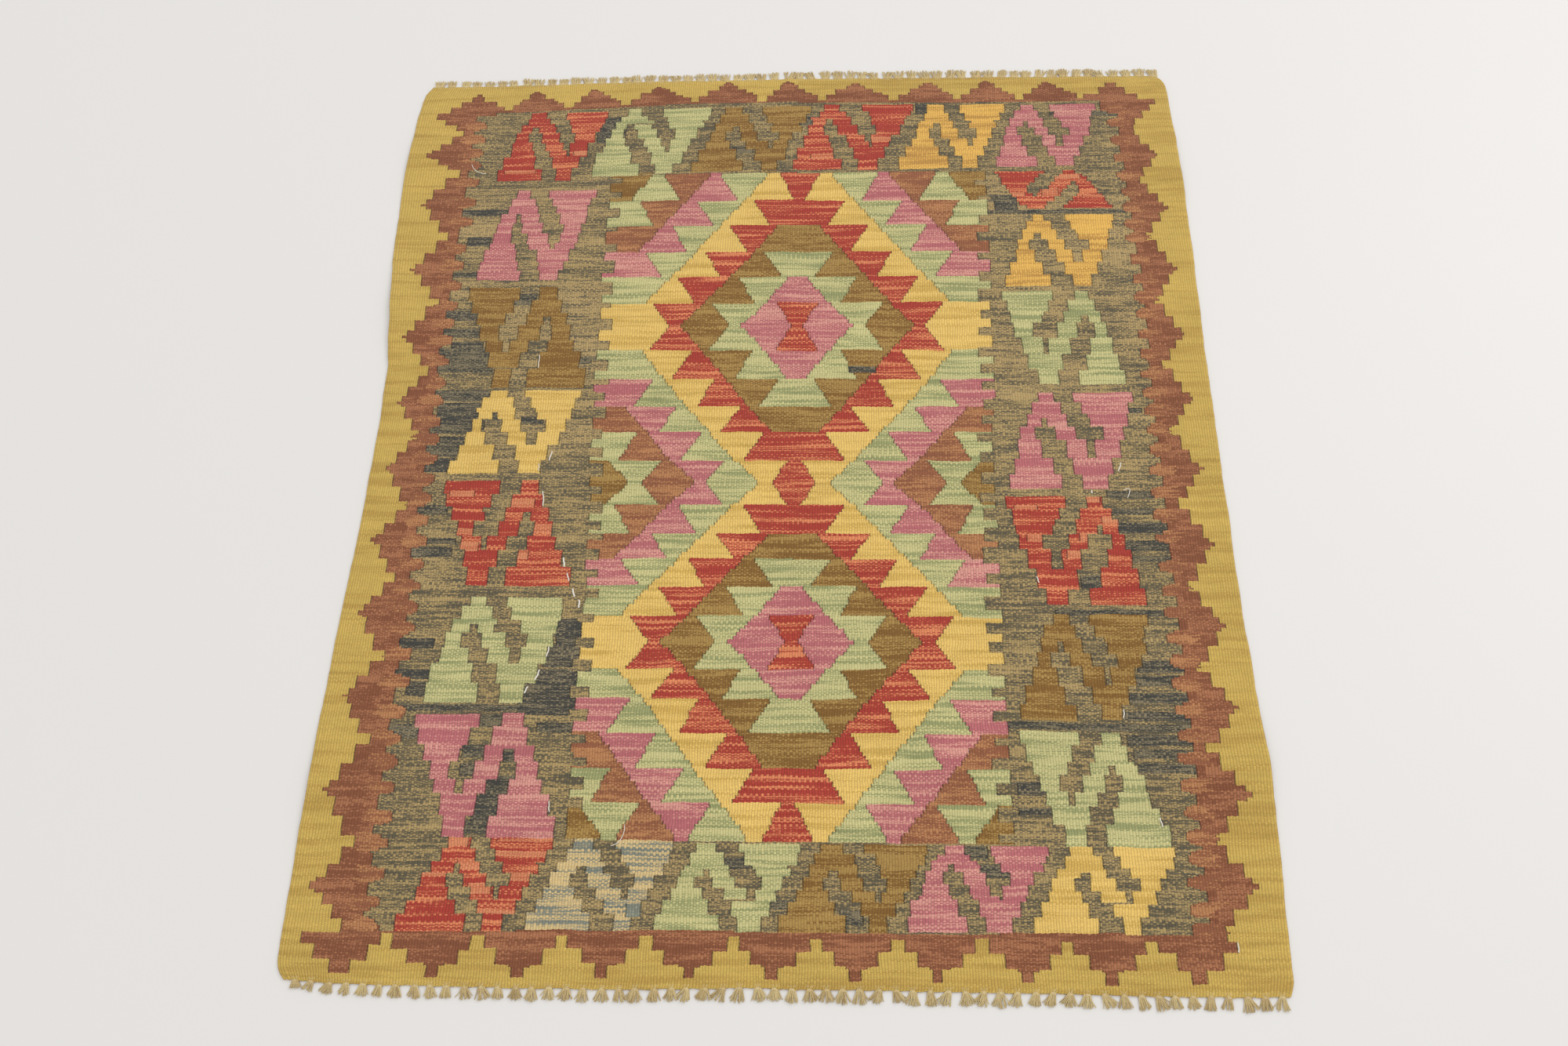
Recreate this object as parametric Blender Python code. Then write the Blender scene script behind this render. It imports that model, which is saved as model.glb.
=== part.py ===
"""Kilim rug, lying flat: one woven cloth with a knotted warp fringe at each end.

The frame is in metres, +Z up. The origin is under the middle of the whole rug, at floor level.
+X runs to the right and +Y away from the viewer, along the warps.
"""

import bmesh
import bpy
import math
import random

MM = 0.001

# The cloth's outline as it lies, in millimetres. Columns: place along the edge, the edge there.
LEFT_EDGE = (
    (-612, -497), (-602, -505), (-590, -508), (-530, -507), (-450, -509), (-320, -507),
    (-200, -504), (-100, -500), (50, -498), (140, -500), (200, -508), (300, -517),
    (400, -520), (500, -521), (550, -517), (585, -513), (598, -509), (612, -500),
)
RIGHT_EDGE = (
    (-612, 504), (-600, 509), (-480, 513), (-370, 515), (-310, 512), (-200, 508),
    (0, 507), (100, 506), (300, 507), (400, 507), (500, 505), (595, 501), (606, 497),
    (614, 488),
)
NEAR_EDGE = (
    (-520, -607), (-440, -610), (-340, -612), (-200, -611), (-100, -609), (100, -609),
    (200, -610), (440, -612), (520, -610),
)
FAR_EDGE = (
    (-520, 602), (-400, 603), (-350, 605), (-280, 607), (-220, 609), (-150, 611),
    (-50, 612), (520, 612.5),
)

# Thickness of the cloth beside its selvedges. Columns: distance in from the edge, thickness.
SELVEDGE = ((0, 1.9), (4, 3.4), (13, 3.0))
CLOTH_THICK = 3.0
COLUMNS = 34
ROWS = 38

# Low swells where the cloth stands off the floor. Columns: x, y, reach in x, reach in y, height.
SWELLS = (
    (-512, 222, 95, 120, 4.0),
    (-512, -405, 70, 95, 2.5),
    (514, -362, 80, 100, 3.0),
    (506, 452, 70, 90, 2.5),
    (-519, 470, 60, 80, 2.0),
)

# The fringe. A narrow strip of the cloth's end carries the tassels of that end.
STRIP_WIDE = 5.0
STRIP_GAP = 0.3
TASSELS = 58
ROOT_WIDE = 2.9
ROOT_HIGH = 3.0
TIP_WIDE = 4.3
TIP_HIGH = 1.3
# Shape of one lock. Columns: share of its length, share of its spread, height.
LOCK_STEPS = ((0.28, 0.18, 2.4), (1.0, 1.0, TIP_HIGH))
SPREAD = 3.1
NEAR_LENGTH = ((-500, 10.0), (-420, 12.0), (-280, 12.5), (-100, 13.0), (500, 13.5))
FAR_LENGTH = ((-500, 11.0), (-300, 12.0), (-150, 12.5), (0, 14.0), (150, 14.5), (500, 13.0))
NEAR_SPAN = (-496, 505)
FAR_SPAN = (-492, 492)

MATERIALS = {
    "wool": ((0.42, 0.20, 0.10), 0.9),
    "warp_yarn": ((0.50, 0.40, 0.24), 0.9),
}


def clear():
    """Removes every object that is in the file."""
    for old in list(bpy.data.objects):
        bpy.data.objects.remove(old, do_unlink=True)


def material(name):
    """The Principled material of that name."""
    colour, roughness = MATERIALS[name]
    made = bpy.data.materials.new(name)
    made.use_nodes = True
    shader = made.node_tree.nodes["Principled BSDF"]
    shader.inputs["Base Color"].default_value = (*colour, 1.0)
    shader.inputs["Roughness"].default_value = roughness
    return made


def read(table, at):
    """The table's second column where its first column is at, by straight lines."""
    for (a, low), (b, high) in zip(table, table[1:]):
        if at <= b:
            share = min(max((at - a) / (b - a), 0.0), 1.0)
            return low + (high - low) * share
    return table[-1][1]


def swell(x, y):
    """How far the underside stands off the floor at a place, in millimetres."""
    high = 0.0
    for at_x, at_y, reach_x, reach_y, height in SWELLS:
        away = math.hypot((x - at_x) / reach_x, (y - at_y) / reach_y)
        if away < 1.0:
            high += height * 0.5 * (1.0 + math.cos(math.pi * away))
    return high


def spaced(step, steps, long, margins):
    """Where grid line number step lies along a side: margin lines first, then even ones."""
    if step < len(margins):
        return margins[step]
    if step > steps - len(margins):
        return long - margins[steps - step]
    first = margins[-1]
    even = (step - len(margins) + 1) / (steps - 2 * len(margins) + 2)
    return first + (long - 2 * first) * even


def cloth_place(column, row):
    """The flat place of a grid point of the cloth, and its distance in from a selvedge."""
    ends = STRIP_WIDE + STRIP_GAP
    side_lines = [distance for distance, _ in SELVEDGE]
    near = read(NEAR_EDGE, 0.0) + ends
    far = read(FAR_EDGE, 0.0) - ends
    along = spaced(row, ROWS, far - near, [0.0, 10.0])
    y = near + along
    left = read(LEFT_EDGE, y)
    right = read(RIGHT_EDGE, y)
    across = spaced(column, COLUMNS, right - left, side_lines)
    x = left + across
    toward_far = along / (far - near)
    near_shift = read(NEAR_EDGE, x) - read(NEAR_EDGE, 0.0)
    far_shift = read(FAR_EDGE, x) - read(FAR_EDGE, 0.0)
    y += near_shift * max(1.0 - 2.0 * toward_far, 0.0) + far_shift * max(2.0 * toward_far - 1.0, 0.0)
    return x, y, min(across, right - left - across)


def new_object(bm, name, slot):
    """An object of that name from the mesh, with the slot's material."""
    bmesh.ops.recalc_face_normals(bm, faces=bm.faces)
    mesh = bpy.data.meshes.new(name)
    bm.to_mesh(mesh)
    bm.free()
    made = bpy.data.objects.new(name, mesh)
    mesh.materials.append(bpy.data.materials.get(slot) or material(slot))
    bpy.context.collection.objects.link(made)
    return made


def numbered(bm, columns, rows):
    """Each vertex of a fresh grid with its column and row."""
    return [
        (vert, round((vert.co.x + 1.0) / 2.0 * columns), round((vert.co.y + 1.0) / 2.0 * rows))
        for vert in bm.verts
    ]


def cloth():
    """The woven cloth between the two end strips, as one flat slab with low swells."""
    bm = bmesh.new()
    bmesh.ops.create_grid(bm, x_segments=COLUMNS, y_segments=ROWS, size=1.0)
    lifts = {}
    for vert, column, row in numbered(bm, COLUMNS, ROWS):
        x, y, inward = cloth_place(column, row)
        under = swell(x, y)
        vert.co = (x * MM, y * MM, under * MM)
        lifts[vert.index] = read(SELVEDGE, inward)
    bm.verts.ensure_lookup_table()
    below = list(bm.verts)
    grown = bmesh.ops.extrude_face_region(bm, geom=list(bm.faces), use_keep_orig=True)
    above = [item for item in grown["geom"] if isinstance(item, bmesh.types.BMVert)]
    under = {(round(v.co.x, 6), round(v.co.y, 6)): lifts[v.index] for v in below}
    for vert in above:
        vert.co.z += under[(round(vert.co.x, 6), round(vert.co.y, 6))] * MM
    return new_object(bm, "cloth", "wool")


def strip_marks(span, chance):
    """Where the strip is divided: three marks for each tassel, then its far side."""
    pitch = (span[1] - span[0]) / TASSELS
    marks = []
    for number in range(TASSELS):
        middle = span[0] + pitch * (number + 0.5) + chance.uniform(-1.2, 1.2)
        marks += [middle - ROOT_WIDE, middle, middle + ROOT_WIDE]
    return marks


def push_lock(bm, face, middle, side, out, long, lean):
    """Grows one lock out of its root face in steps, resting level on the floor."""
    before = 0.0
    for share, spread, high in LOCK_STEPS:
        grown = bmesh.ops.extrude_discrete_faces(bm, faces=[face])
        face = grown["faces"][0]
        wide = ROOT_WIDE + (TIP_WIDE - ROOT_WIDE) * share
        offset = side * (ROOT_WIDE / 2.0 + SPREAD * spread) + lean * share
        inner = min(vert.co.x for vert in face.verts)
        outer = max(vert.co.x for vert in face.verts)
        centre = (inner + outer) / 2.0
        for vert in face.verts:
            way = 1.0 if vert.co.x > centre else -1.0
            vert.co.x = (middle + offset + way * wide / 2.0) * MM
            vert.co.y += out * long * (share - before) * MM
            vert.co.z = high * MM if vert.co.z > 0.0001 else 0.0
        before = share


def fringe(name, edge, span, out, lengths, seed):
    """A strip of the cloth's end with the tassels knotted from its warps, two locks to each."""
    chance = random.Random(seed)
    marks = strip_marks(span, chance)
    columns = len(marks) + 1
    places = [span[0] - 2.0] + marks + [span[1] + 2.0]
    bm = bmesh.new()
    bmesh.ops.create_grid(bm, x_segments=columns, y_segments=1, size=1.0)
    for vert, column, row in numbered(bm, columns, 1):
        x = places[column]
        outer = row == (1 if out > 0 else 0)
        y = read(edge, x) - (0.0 if outer else out * STRIP_WIDE)
        vert.co = (x * MM, y * MM, 0.0)
    grown = bmesh.ops.extrude_face_region(bm, geom=list(bm.faces), use_keep_orig=True)
    for item in grown["geom"]:
        if isinstance(item, bmesh.types.BMVert):
            item.co.z = ROOT_HIGH * MM
    bmesh.ops.recalc_face_normals(bm, faces=bm.faces)
    ends = [f for f in bm.faces if f.normal.y * out > 0.9]
    ends.sort(key=lambda f: f.calc_center_median().x)
    for number in range(TASSELS):
        long = read(lengths, marks[3 * number + 1]) + chance.uniform(-1.2, 1.2)
        lean = chance.uniform(-0.9, 0.9)
        for lock, side in ((1, -1.0), (2, 1.0)):
            face = ends[3 * number + lock]
            push_lock(bm, face, marks[3 * number + 1], side, out, long, lean)
    return new_object(bm, name, "warp_yarn")


def centre(pieces):
    """Moves all meshes so that the origin is under the middle of the whole."""
    corners = [vert.co for piece in pieces for vert in piece.data.vertices]
    middle_x = (min(c.x for c in corners) + max(c.x for c in corners)) / 2.0
    middle_y = (min(c.y for c in corners) + max(c.y for c in corners)) / 2.0
    for piece in pieces:
        for vert in piece.data.vertices:
            vert.co.x -= middle_x
            vert.co.y -= middle_y
        piece.data.update()


def main():
    """Builds the rug."""
    clear()
    pieces = [
        cloth(),
        fringe("fringe_near", NEAR_EDGE, NEAR_SPAN, -1.0, NEAR_LENGTH, 11),
        fringe("fringe_far", FAR_EDGE, FAR_SPAN, 1.0, FAR_LENGTH, 23),
    ]
    centre(pieces)


main()
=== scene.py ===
"""Dresses the kilim rug: its slit-woven wool cloth, its knotted fringes and a plain studio.

Laid out as a Blender add-on and run as a script. The rug lies on the floor at z = 0, its warps
along Y, its wefts along X. Tables are in millimetres, measured on the rug as it lies.
"""

import math
import random

import bmesh
import bpy
import numpy as np
from bpy.props import FloatProperty, FloatVectorProperty, IntProperty, PointerProperty
from mathutils import Matrix, Vector, noise


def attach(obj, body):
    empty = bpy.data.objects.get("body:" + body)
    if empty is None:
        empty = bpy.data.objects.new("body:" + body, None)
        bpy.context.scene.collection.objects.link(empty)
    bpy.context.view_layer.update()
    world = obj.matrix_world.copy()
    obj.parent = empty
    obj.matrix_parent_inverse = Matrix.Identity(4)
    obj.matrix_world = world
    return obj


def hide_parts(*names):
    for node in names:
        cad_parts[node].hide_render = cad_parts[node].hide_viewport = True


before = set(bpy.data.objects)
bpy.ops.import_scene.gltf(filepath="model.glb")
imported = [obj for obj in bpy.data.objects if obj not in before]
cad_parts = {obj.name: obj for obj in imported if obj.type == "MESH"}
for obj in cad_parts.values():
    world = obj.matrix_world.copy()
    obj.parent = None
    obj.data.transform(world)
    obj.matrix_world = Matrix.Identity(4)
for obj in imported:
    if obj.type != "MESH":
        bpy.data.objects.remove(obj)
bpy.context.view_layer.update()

bl_info = {
    "name": "Kilim rug",
    "version": (1, 0, 0),
    "blender": (4, 5, 0),
    "location": "3D View > Sidebar > Rug",
    "description": "Weaves a kilim rug with its fringes and lays it on a plain floor",
    "category": "Object",
}

MM = 0.001
CENTRE_X = -3.182
CENTRE_Y = 0.641

# --- The loom ---------------------------------------------------------------------------------
# The cloth is charted in cells one warp wide and one step of wefts high.
WARP_MM = 3.0
STEP_MM = 2.0
WARPS = 339
STEPS = 612
LOOM_LEFT = -508.5
LOOM_NEAR = -610.0
BLOCK_WARPS = 8
BLOCK_STEPS = 9
# A place beyond all four sides of the loom.
PAST_LOOM = 640
# A cell's code is its yarn's number times this, its block's times 4 and its slit, added up.
YARN_CODE = 40000

# --- How the cloth lies -----------------------------------------------------------------------
# Columns: place along the edge, the edge there.
LEFT_EDGE = (
    (-612, -498), (-602, -506), (-590, -509), (-530, -509), (-450, -510), (-320, -509),
    (-200, -506), (-100, -502), (50, -499), (140, -501), (200, -508), (300, -518),
    (400, -522), (500, -522), (560, -519), (590, -516), (603, -513), (612, -506),
)
RIGHT_EDGE = (
    (-612, 504), (-600, 509), (-480, 513), (-370, 515), (-310, 512), (-200, 508),
    (0, 507), (100, 506), (300, 507), (400, 507), (500, 505), (595, 501), (606, 497),
    (614, 488),
)
SIDE_STARTS = 430.0
# The wefts wander off level. Columns: level on the loom, then how far above it they lie at
# each of the places across the rug in SLANT_AT.
SLANT_AT = (-500, -400, -200, 0, 200, 400, 500)
SLANT = (
    (-610, 3.5, -1.0, -1.5, 1.0, 0.5, -1.0, 0.0),
    (-556, -1.0, -1.0, 0.0, 2.5, 2.5, 4.5, 4.5),
    (-458, 0.0, 0.0, 0.0, 0.0, 0.0, 0.0, 0.0),
    (-420, 0.0, 0.0, -1.0, 0.0, -1.0, 0.0, 0.0),
    (-343, 0.0, 0.0, -1.0, 0.0, 5.0, 3.0, 3.0),
    (-268, -2.0, -2.0, -4.0, 0.0, 7.0, 3.0, 3.0),
    (-200, 0.0, 0.0, -2.0, 0.0, 4.0, 2.0, 2.0),
    (-90, 0.0, 0.0, 0.0, 0.0, 0.0, 0.0, 0.0),
    (117, 0.0, 0.0, 0.0, 0.0, 0.0, 0.0, 0.0),
    (160, 0.0, 0.0, 2.0, 0.0, -7.0, -4.0, -4.0),
    (234, 0.0, 0.0, 0.0, 0.0, 0.0, 0.0, 0.0),
    (316, 0.0, 0.0, 0.0, 0.0, 0.0, 0.0, 0.0),
    (400, -6.0, -6.0, -3.0, 0.0, 0.0, 1.0, 1.0),
    (450, -14.0, -14.0, -9.0, -2.0, 2.0, 3.0, 3.0),
    (571, -15.0, -15.0, -4.0, 0.0, -2.0, -1.0, -1.0),
    (612, -10.0, -9.0, -2.5, 0.0, 0.5, 0.5, 0.5),
)
# Low swells where the cloth stands off the floor. Columns: x, y, reach in x, reach in y, height.
SWELLS = (
    (-512, 222, 95, 120, 4.0),
    (-512, -405, 70, 95, 2.5),
    (514, -362, 80, 100, 3.0),
    (506, 452, 70, 90, 2.5),
    (-519, 470, 60, 80, 2.0),
)
# Columns: distance in from the selvedge, thickness of the cloth there.
SELVEDGE = ((0, 1.7), (1.5, 2.6), (3, 3.3), (6, 3.4), (13, 3.0))
END_THIN = ((0, 2.0), (2, 2.7), (6, 3.0))
TEETH_MM = 0.35

# --- The pattern ------------------------------------------------------------------------------
YARNS = (
    "ochre", "brown", "rust", "marl", "red", "pink", "green", "yellow", "golden", "olive",
    "cream", "blue", "charcoal", "orange",
)
# Border triangles reach from the brown band to their tips in three even steps.
# Columns: middle of the valley before it, its tip's place, how far out its tip is.
FAR_SIDE = (
    (-395, -358, 592), (-312, -278, 596), (-235, -190, 602), (-140, -95, 608), (-48, -12, 607),
    (35, 78, 605), (133, 178, 605), (218, 256, 606), (302, 340, 605), (386, None, None),
)
NEAR_SIDE = (
    (-400, -350, -603), (-306, -263, -602), (-220, -178, -601), (-136, -90, -600),
    (-48, -8, -600), (37, 76, -600), (120, 160, -601), (205, 248, -600), (290, 331, -601),
    (375, None, None),
)
LEFT_SIDE = (
    (-551, -510, -489), (-464, -407, -490), (-350, -300, -487), (-251, -198, -485),
    (-154, -105, -485), (-60, -9, -482), (36, 85, -481), (131, 180, -487), (235, 287, -492),
    (342, 395, -494), (447, 479, -496), (518, None, None),
)
RIGHT_SIDE = (
    (-548, -501, 488), (-452, -404, 491), (-352, -307, 490), (-259, -210, 487),
    (-160, -108, 488), (-55, -8, 485), (44, 90, 484), (138, 184, 484), (237, 285, 484),
    (337, 385, 483), (430, 472, 478), (512, None, None),
)
FAR_BAND = ((-400, 560), (-300, 564), (-235, 568), (-140, 573), (0, 574), (400, 573))
NEAR_BAND = ((-500, -560), (500, -558))
LEFT_BAND = ((-560, -443), (-450, -449), (600, -450))
RIGHT_BAND = ((-560, 443), (-430, 450), (440, 450), (520, 443), (600, 443))
# The brown is filled in part by part, then the marl over it. Columns: start, end, part's length.
BAND_ALONG = (-558, 530, 34)
BAND_ACROSS = (0, 450, 30)
BAND_FROM = 500
DARK_ALONG = (-551, 549, 25)
DARK_ACROSS = (0, 410, 45)
DARK_FROM = 380.0
VALLEY_HALF = 6.5
TIP_HALF = 7.0
# Columns: share of a triangle's height where the step ends, how far it has narrowed before its
# tip and after it, where 1 is the tip's own width. The far end's slope more finely.
FAR_STEPS = (
    (0.30, 0.00, 0.00), (0.44, 0.42, 0.26), (0.62, 0.44, 0.50), (0.86, 0.88, 0.82),
    (0.94, 1.04, 1.00), (1.00, 1.14, 1.14),
)
NEAR_STEPS = ((0.33, 0.00, 0.00), (0.67, 0.46, 0.44), (0.72, 0.96, 0.80), (1.00, 1.02, 1.04))
SIDE_STEPS = (
    (0.34, 0.00, 0.00), (0.66, 0.50, 0.52), (0.85, 0.98, 0.96), (1.00, 1.12, 1.14),
)
# The brown at each corner. Columns: left, right, near, far.
CORNERS = (
    (-441, -434, 584, 589), (-446, -429, 576, 584), (-460, -414, 566, 576), (-476, -401, 555, 566),
    (-492, -440, 544, 555), (-479, -440, 533, 544), (-463, -440, 523, 533),
    (419, 432, 593, 603), (408, 445, 581, 593), (389, 461, 571, 581), (430, 482, 561, 571),
    (430, 475, 550, 561), (430, 464, 536, 550), (430, 454, 524, 536),
    (-488, -406, -570, -558), (-472, -418, -586, -570), (-455, -433, -600, -586),
    (381, 459, -570, -557), (396, 443, -587, -570), (410, 424, -600, -587),
)
# The marled field inside the brown band. Rows: place along the side, the field's edge there.
DARK_FAR = ((-400, 556), (-300, 560), (-200, 567), (-100, 571), (0, 571), (200, 568), (400, 570))
DARK_NEAR = ((-400, -556), (-300, -556), (-150, -553), (200, -553), (300, -551), (400, -551))
DARK_LEFT = ((-560, -428), (-300, -431), (-40, -433), (20, -437), (540, -437), (570, -428))
DARK_RIGHT = ((-560, 434), (-440, 434), (-380, 437), (0, 436), (260, 439), (440, 434), (570, 428))
# Middles of the rust teeth that reach into it, and how far they reach.
LEFT_COMB = (
    -552, -527, -497, -465, -437, -405, -376, -350, -318, -283, -250, -218, -193, -165, -138,
    -108, -80, -52, -24, 5, 32, 57, 87, 113, 145, 176, 203, 230, 262, 294, 322, 365, 397, 432,
    461, 483, 507, 530,
)
RIGHT_COMB = (
    -546, -525, -497, -472, -450, -425, -395, -366, -340, -310, -280, -253, -225, -195, -168,
    -137, -100, -70, -40, -10, 18, 45, 72, 97, 125, 155, 184, 214, 240, 269, 300, 334, 357,
    385, 410, 438, 468, 498, 530, 554,
)
LEFT_COMB_TIP = (
    (-560, -411), (-465, -413), (-300, -416), (-100, -420), (100, -424), (330, -423),
    (600, -420),
)
RIGHT_COMB_TIP = (
    (-560, 414), (-470, 418), (-300, 421), (0, 423), (200, 427), (400, 425), (500, 418),
    (600, 414),
)
# Columns: share of a tooth's reach, half its width.
COMB_STEPS = ((0.45, 8.5), (0.80, 6.5), (1.00, 4.5))
# How far into the brown band a tooth's rust wefts start, weft by weft.
COMB_ROOT = (-1.0, 20.0)
# How many steps of wefts a batch of marled yarn lasts.
BATCH_STEPS = (3, 9)
# A block's number spreads into a share from 0 to 1: the higher, the darker its marled yarn. The
# table gives the least share of the batches at each level.
BLOCK_SPREAD = 0.61803
BATCH_DARKEST = ((-560, 0.55), (-30, 0.55), (40, 0.0), (425, 0.0), (445, 0.72))
# The middle field's outermost edge, the marl's reach over it, and where the marl reaches in.
FIELD_LEFT = (
    (-458, -225), (-330, -229), (-60, -232), (0, -238), (100, -240), (250, -243), (445, -246),
)
FIELD_RIGHT = ((-458, 240), (20, 240), (100, 247), (230, 248), (300, 251), (445, 252))
FIELD_TOOTH = 15.0
LEFT_TEETH = (
    (-425, -413), (-405, -390), (-378, -368), (-352, -343), (-327, -315), (-300, -287),
    (-270, -255), (-240, -228), (-210, -200), (-180, -168), (-153, -143), (-130, -117),
    (-104, -96), (-93, -80), (-70, -55), (-44, -33), (-20, -3), (6, 20), (32, 47), (63, 78),
    (86, 98), (109, 117), (131, 147), (161, 176), (190, 209), (227, 235), (245, 265),
    (280, 300), (314, 327), (348, 357), (372, 387), (404, 414), (430, 438),
)
RIGHT_TEETH = (
    (-458, -449), (-437, -420), (-408, -395), (-380, -368), (-352, -343), (-325, -312),
    (-297, -286), (-272, -258), (-245, -231), (-222, -207), (-193, -176), (-160, -147),
    (-134, -113), (-105, -88), (-78, -62), (-55, -42), (-30, -13), (0, 14), (28, 40), (54, 66),
    (73, 88), (103, 114), (126, 140), (150, 165), (181, 194), (209, 221), (235, 253),
    (265, 283), (300, 312), (330, 345), (358, 373), (398, 405), (424, 432),
)
FIELD_MIDDLE = 6.0
# Further out than the field's edge, which cuts a row's last colour off.
PAST_FIELD = 300.0
FIELD_LINE = (446.0, 449.5)
FIELD_LINE_FROM = -205.0
FIELD_LINE_TO = 262.0
# Rows of each medallion: its middle, then the rows' ends going out to both sides.
MEDALLIONS = (
    (198, (234, 275, 316, 358, 400, 445), (160, 117, 76, 40, 2, -28)),
    (-232, (-200, -163, -128, -95, -58, -28), (-266, -302, -341, -381, -420, -458)),
)
# Colours from a medallion's heart outwards. Every second edge between them is saw-toothed.
RINGS = ("pink", "green", "olive", "red", "yellow", "green", "pink", "rust", "green", "olive")
RING_WIDE = 76.0
SMOOTH_FROM = 71.0
SMOOTH_IN = 30.3
SAW_FROM = 84.0
SAW_IN = 31.0
SAW_OUT = 23.0
ROW_PARTS = 8
HEART_HALF = (5.5, 21.5)

# The hook motif, charted over its box in five versions: the slips of the weave make some wider or
# steeper. The steps were read from enlarged crops of the photo. Columns: height share where the row
# ends, then the spans it fills as shares of the box's width.
SIDE_HOOK = (
    (0.09, ((0.295, 0.41), (0.57, 1.00))),
    (0.19, ((0.25, 0.45), (0.61, 0.97))),
    (0.28, ((0.21, 0.48), (0.65, 0.95))),
    (0.38, ((0.17, 0.30), (0.34, 0.51), (0.69, 0.94))),
    (0.49, ((0.14, 0.27), (0.38, 0.55), (0.74, 0.91))),
    (0.60, ((0.11, 0.28), (0.42, 0.61), (0.72, 0.88))),
    (0.67, ((0.09, 0.31), (0.45, 0.63), (0.67, 0.86))),
    (0.81, ((0.05, 0.34), (0.51, 0.81))),
    (0.90, ((0.03, 0.37), (0.55, 0.79))),
    (1.00, ((0.00, 0.41), (0.58, 0.74))),
)
FAR_HOOK = (
    (0.11, ((0.255, 0.39), (0.56, 0.98))),
    (0.18, ((0.21, 0.44), (0.60, 0.95))),
    (0.22, ((0.16, 0.48), (0.63, 0.92))),
    (0.31, ((0.16, 0.28), (0.33, 0.48), (0.63, 0.92))),
    (0.46, ((0.12, 0.25), (0.36, 0.53), (0.68, 0.86))),
    (0.57, ((0.10, 0.28), (0.42, 0.57), (0.64, 0.80))),
    (0.65, ((0.08, 0.30), (0.44, 0.60), (0.63, 0.79))),
    (0.82, ((0.04, 0.33), (0.49, 0.74))),
    (1.00, ((0.00, 0.40), (0.53, 0.69))),
)
NEAR_HOOK = (
    (0.12, ((0.28, 0.43), (0.58, 1.00))),
    (0.26, ((0.24, 0.49), (0.63, 0.97))),
    (0.30, ((0.19, 0.52), (0.68, 0.92))),
    (0.39, ((0.19, 0.33), (0.385, 0.52), (0.68, 0.92))),
    (0.53, ((0.15, 0.29), (0.41, 0.57), (0.73, 0.87))),
    (0.66, ((0.11, 0.33), (0.47, 0.64), (0.68, 0.83))),
    (0.82, ((0.06, 0.38), (0.53, 0.79))),
    (1.00, ((0.00, 0.45), (0.59, 0.73))),
)
WIDE_HOOK = (
    (0.10, ((0.26, 0.385), (0.55, 1.00))),
    (0.22, ((0.205, 0.44), (0.60, 0.96))),
    (0.27, ((0.165, 0.48), (0.64, 0.94))),
    (0.36, ((0.165, 0.285), (0.33, 0.48), (0.66, 0.94))),
    (0.50, ((0.12, 0.225), (0.39, 0.535), (0.735, 0.91))),
    (0.68, ((0.09, 0.27), (0.45, 0.605), (0.67, 0.85))),
    (0.85, ((0.045, 0.325), (0.51, 0.795))),
    (1.00, ((0.00, 0.405), (0.57, 0.735))),
)
STEEP_HOOK = (
    (0.10, ((0.28, 0.40), (0.555, 1.00))),
    (0.22, ((0.215, 0.445), (0.60, 0.985))),
    (0.27, ((0.165, 0.50), (0.67, 0.97))),
    (0.36, ((0.165, 0.305), (0.365, 0.50), (0.675, 0.97))),
    (0.49, ((0.135, 0.25), (0.41, 0.57), (0.75, 0.945))),
    (0.65, ((0.09, 0.315), (0.48, 0.63), (0.695, 0.91))),
    (0.83, ((0.045, 0.37), (0.54, 0.865))),
    (1.00, ((0.00, 0.43), (0.59, 0.765))),
)
# Columns: its rows, yarn, left, right, near, far, turned (mirrored left to right). The boxes were read
# one by one, then compared with the photo, and after that 15 hooks were given another of the five
# charts and 19 boxes were moved by up to 3 mm. A scratch script then compared them with the photo, and
# after it 15 hooks were given another of the five charts and 19 boxes were moved by up to 3 mm.
HOOKS = (
    (FAR_HOOK, "red", -397, -251, 435, 555, False),
    (FAR_HOOK, "green", -272, -112, 443, 560, False),
    (NEAR_HOOK, "olive", -140, 18, 447, 563, False),
    (FAR_HOOK, "red", -4, 161, 450, 565, False),
    (NEAR_HOOK, "golden", 138, 279, 452, 564, False),
    (WIDE_HOOK, "pink", 265, 403, 455, 563, False),
    (SIDE_HOOK, "pink", -408, -263, 271, 418, False),
    (NEAR_HOOK, "olive", -411, -254, 107, 258, True),
    (WIDE_HOOK, "yellow", -406, -256, -16, 103, False),
    (NEAR_HOOK, "red", -407, -250, -165, -26, True),
    (STEEP_HOOK, "green", -400, -252, -307, -178, False),
    (NEAR_HOOK, "pink", -401, -238, -459, -320, True),
    (NEAR_HOOK, "red", -394, -239, -556, -458, False),
    (NEAR_HOOK, "cream", -260, -111, -554, -459, False),
    (NEAR_HOOK, "green", -130, 20, -553, -461, False),
    (NEAR_HOOK, "olive", 0, 152, -553, -461, False),
    (FAR_HOOK, "pink", 130, 283, -552, -461, False),
    (NEAR_HOOK, "yellow", 257, 407, -551, -461, False),
    (WIDE_HOOK, "golden", 269, 413, 258, 373, False),
    (WIDE_HOOK, "green", 261, 408, 110, 251, True),
    (WIDE_HOOK, "pink", 258, 412, -36, 97, False),
    (WIDE_HOOK, "red", 252, 405, -185, -47, True),
    (WIDE_HOOK, "olive", 258, 405, -323, -198, False),
    (NEAR_HOOK, "green", 254, 404, -462, -336, True),
    (SIDE_HOOK, "red", 263, 412, 382, 447, True),
)
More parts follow.
